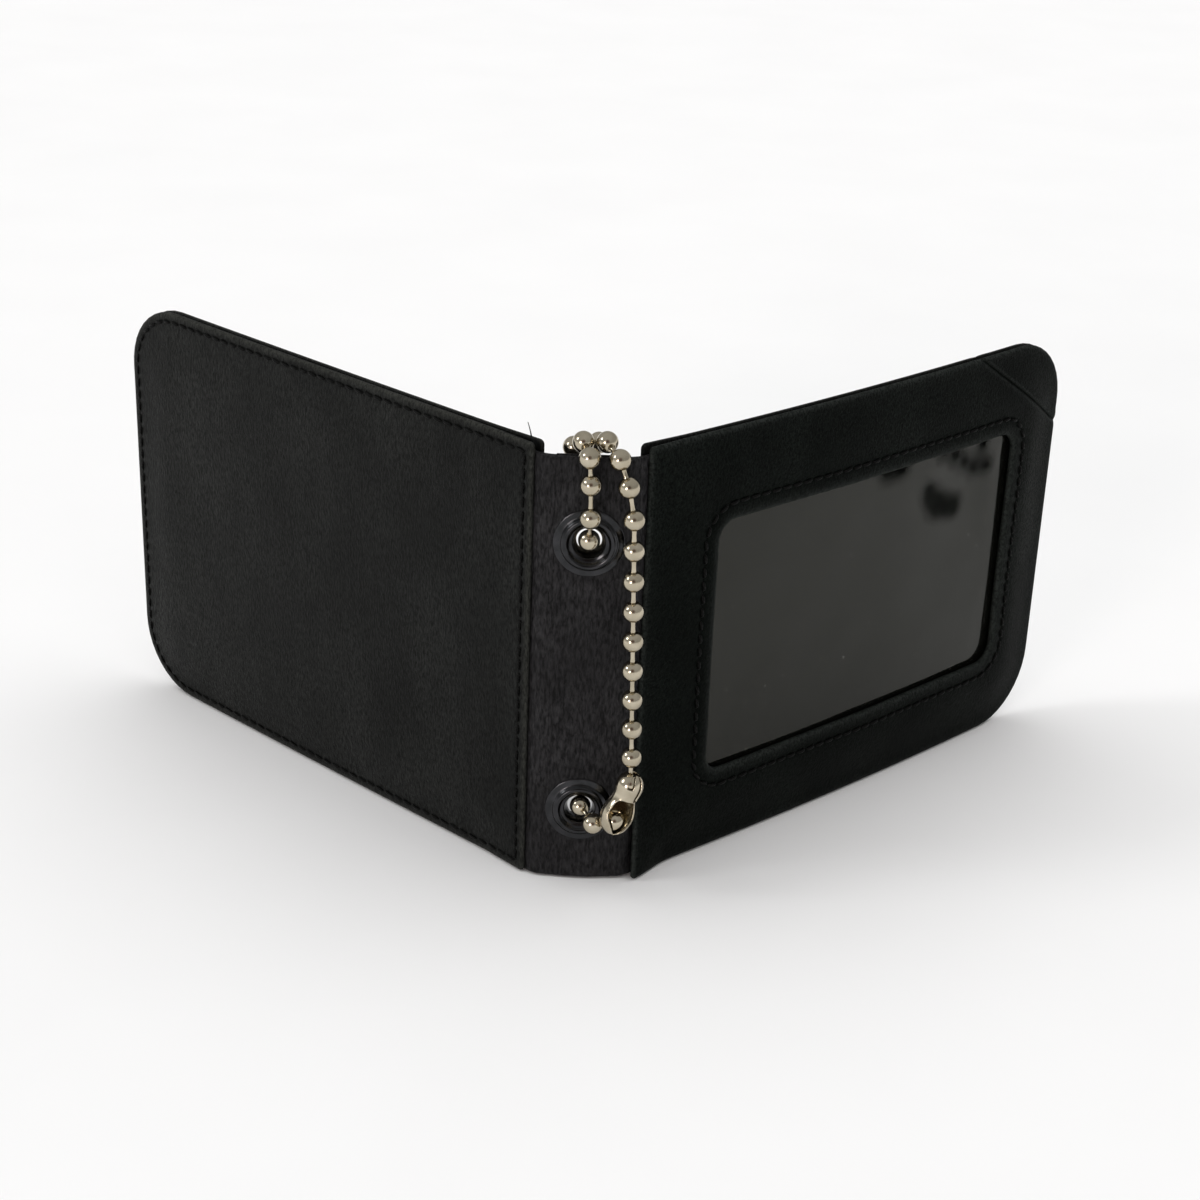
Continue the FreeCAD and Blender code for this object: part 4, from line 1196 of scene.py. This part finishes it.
def connector_openings(place, turn, exit_angle, head):
    """Where the connector is cut away, by place along it and turn from its front."""
    above = np.clip((place - BELLY_MIDDLE) / (BELLY_TOP - BELLY_MIDDLE), 0.0, 1.0)
    below = np.clip((place - BELLY_TIP) / (BELLY_MIDDLE - BELLY_TIP), 0.0, 1.0)
    half = BELLY_HALF * np.sqrt(np.sqrt(1.0 - above**4)) * below**0.8
    belly = (np.abs(turn - BELLY_TURN) < half) & (place > BELLY_TIP) & (place < BELLY_TOP)
    throat = (np.abs(turn) < THROAT_HALF) & (place > head - THROAT_DEPTH)
    slit = (np.abs(turn - TONGUE[0]) < SLIT_HALF) & (place > TONGUE_FOOT)
    hook = (turn > TONGUE[0]) & (turn < TONGUE[1]) & (np.abs(place - TONGUE_FOOT) < HOOK_HALF)
    from_exit = (turn - exit_angle + math.pi) % math.tau - math.pi
    slot = (np.abs(from_exit) < EXIT_HALF) & (place < BELLY_MIDDLE)
    return belly | throat | slit | hook | slot


def connector(lower, upper, side_bead):
    """The pressed shell that joins the chain's ends: a head with a tongue, a neck and an open belly."""
    axis = unit(upper - lower)
    forward = np.array([0.0, -1.0, 0.0])
    front = unit(forward - axis * (forward @ axis))
    across = np.cross(axis, front)
    exit_way = side_bead - lower
    exit_angle = math.atan2(exit_way @ across, exit_way @ front)
    stations, radii = curve_profile(CONNECTOR_PROFILE, CONNECTOR_STEPS).T
    turns = np.linspace(-math.pi, math.pi, CONNECTOR_SIDES, endpoint=False)
    place, turn = np.meshgrid(stations, turns, indexing="ij")
    raised = smooth((TONGUE[1] - turn) / (TONGUE[1] - TONGUE[0])) * (turn > TONGUE[0])
    bent = smooth((place - TONGUE_FOOT + TONGUE_LEAD) / TONGUE_BEND)
    radius = radii[:, None] + TONGUE_LIFT * raised * bent
    ring = np.cos(turn)[..., None] * front + np.sin(turn)[..., None] * across
    points = (lower + axis * place[..., None] + ring * radius[..., None]).reshape(-1, 3)
    middle_turn = turn + math.pi / CONNECTOR_SIDES
    cut = connector_openings(place, middle_turn, exit_angle, np.linalg.norm(upper - lower)).ravel()
    faces = [face for face in ring_faces(len(stations), CONNECTOR_SIDES, False) if not cut[face[0]]]
    nodes = ["chain_connector"]
    piece = add_piece("chain_connector_shell", points, faces, NICKEL, "spine", "chain_nickel", nodes)
    smooth_rims(piece)
    wall = piece.modifiers.new("wall", "SOLIDIFY")
    wall.thickness = CONNECTOR_WALL * MM
    wall.offset = -1.0


def smooth_rims(piece):
    """Even out the cut edges of an open shell."""
    shape = bmesh.new()
    shape.from_mesh(piece.data)
    for _ in range(RIM_ROUNDS):
        moved = {}
        for vertex in (vertex for vertex in shape.verts if vertex.is_boundary):
            mates = [edge.other_vert(vertex).co for edge in vertex.link_edges if edge.is_boundary]
            moved[vertex] = vertex.co * 0.5 + sum(mates, Vector()) / len(mates) * 0.5
        for vertex, place in moved.items():
            vertex.co = place
    shape.to_mesh(piece.data)
    shape.free()


# Stage
CAMERA_TARGET = Vector((1.9, 0.0, 46.22))
CAMERA_DISTANCE = 325.5
CAMERA_AZIMUTH = math.radians(0.2)
CAMERA_ELEVATION = math.radians(24.0)
CAMERA_ROLL = math.radians(2.22)
CAMERA_LENS = 67.05
SENSOR = 36.0
NEAREST = 0.01
LIT_MIDDLE = Vector((0.0, 0.0, 0.035))
WHITE = (1.0, 1.0, 1.0)
FLOOR_HALF = 12.0
FLOOR_DROP = 0.2

# Strength of the surroundings by height, and the dim warm gap at the front
HORIZON_LIGHT = 0.9
WALL_LIGHT = 0.36
OVERHEAD_LIGHT = 0.52
HORIZON_BAND = (0.06, 0.2)
OVERHEAD_BAND = (0.0, 0.9)
DIM_WAY = (0.0, -0.91, 0.41)
DIM_EDGE = (0.92, 0.985)
DIM_SHARE = 0.3
DIM_COLOUR = (1.0, 0.72, 0.62)


def add_camera():
    """The photograph's viewpoint, low and in front of the spine."""
    data = bpy.data.cameras.new("camera")
    data.lens = CAMERA_LENS
    data.sensor_width = SENSOR
    data.sensor_fit = "HORIZONTAL"
    data.clip_start = NEAREST
    camera = add_object("camera", data)
    target = Matrix.Translation(CAMERA_TARGET * MM)
    azimuth = Matrix.Rotation(-CAMERA_AZIMUTH, 4, "Z")
    elevation = Matrix.Rotation(math.pi / 2 - CAMERA_ELEVATION, 4, "X")
    roll = Matrix.Rotation(CAMERA_ROLL, 4, "Z")
    distance = Matrix.Translation((0.0, 0.0, CAMERA_DISTANCE * MM))
    camera.matrix_world = target @ azimuth @ elevation @ roll @ distance
    bpy.context.scene.camera = camera


def add_light(name, place, width, strength, colour=WHITE, mirrored=True):
    """A distant soft disc of light, which metal shows only if it is mirrored."""
    data = bpy.data.lights.new(name, "SUN")
    data.angle = math.radians(width)
    data.energy = strength
    data.color = colour
    light = add_object(name, data)
    light.location = place
    light.rotation_euler = (LIT_MIDDLE - light.location).to_track_quat("-Z", "Y").to_euler()
    light.visible_glossy = mirrored


def add_floor():
    graph = Graph(bpy.data.materials.new("pale_floor"))
    mottle = graph.noise(graph.millimetres(), 0.02, detail=3.0, roughness=0.5)
    material = graph.shade(
        Base_Color=graph.colours(mottle, (0.86, 0.86, 0.86), (0.9, 0.9, 0.9)),
        Roughness=graph.range(mottle, (0.3, 0.7), (0.85, 0.95)),
        Specular_IOR_Level=0.08,
    )
    corners = [(-1, -1), (1, -1), (1, 1), (-1, 1)]
    mesh = bpy.data.meshes.new("floor")
    mesh.from_pydata([(x * FLOOR_HALF, y * FLOOR_HALF, 0.0) for x, y in corners], [], [(0, 1, 2, 3)])
    mesh.materials.append(material)
    floor = add_object("floor", mesh)
    floor.location.z = -FLOOR_DROP * MM


def add_world():
    """Grey surroundings, pale at the horizon and overhead, with a dim warm gap at the front."""
    bpy.context.scene.world = bpy.data.worlds.new("studio")
    graph = Graph(bpy.context.scene.world)
    way = graph.add("TexCoord").outputs["Generated"]
    height = graph.add("SeparateXYZ", {"Vector": way}).outputs["Z"]
    low = graph.range(height, HORIZON_BAND, (HORIZON_LIGHT, WALL_LIGHT))
    light = graph.math("MAXIMUM", low, graph.range(height, OVERHEAD_BAND, (WALL_LIGHT, OVERHEAD_LIGHT)))
    facing = graph.add("VectorMath", {0: way, 1: DIM_WAY}, operation="DOT_PRODUCT").outputs["Value"]
    dimmed = graph.range(facing, DIM_EDGE, (1.0, DIM_SHARE))
    background = graph.tree.nodes["Background"]
    graph.feed(background, "Color", graph.colours(dimmed, DIM_COLOUR, WHITE, start=DIM_SHARE))
    graph.feed(background, "Strength", graph.times(light, dimmed))


left_leaf()
right_leaf()
spine_panel()
for leaf_side in ("left", "right"):
    spine_fold(leaf_side)
spine_stitches()
for eyelet_name, eyelet_height in EYELETS.items():
    eyelet(eyelet_name, eyelet_height)
chain()
add_camera()
add_light("window", place=(-0.9, -0.15, 0.6), width=15.0, strength=0.57)
add_light("room", place=(-0.53, -0.93, 0.24), width=15.0, strength=0.77, colour=(1.0, 0.9, 0.87))
add_light("ceiling", place=(0.0, 0.2, 1.6), width=80.0, strength=1.6, mirrored=False)
add_floor()
add_world()
bpy.context.scene.view_settings.view_transform = "Standard"
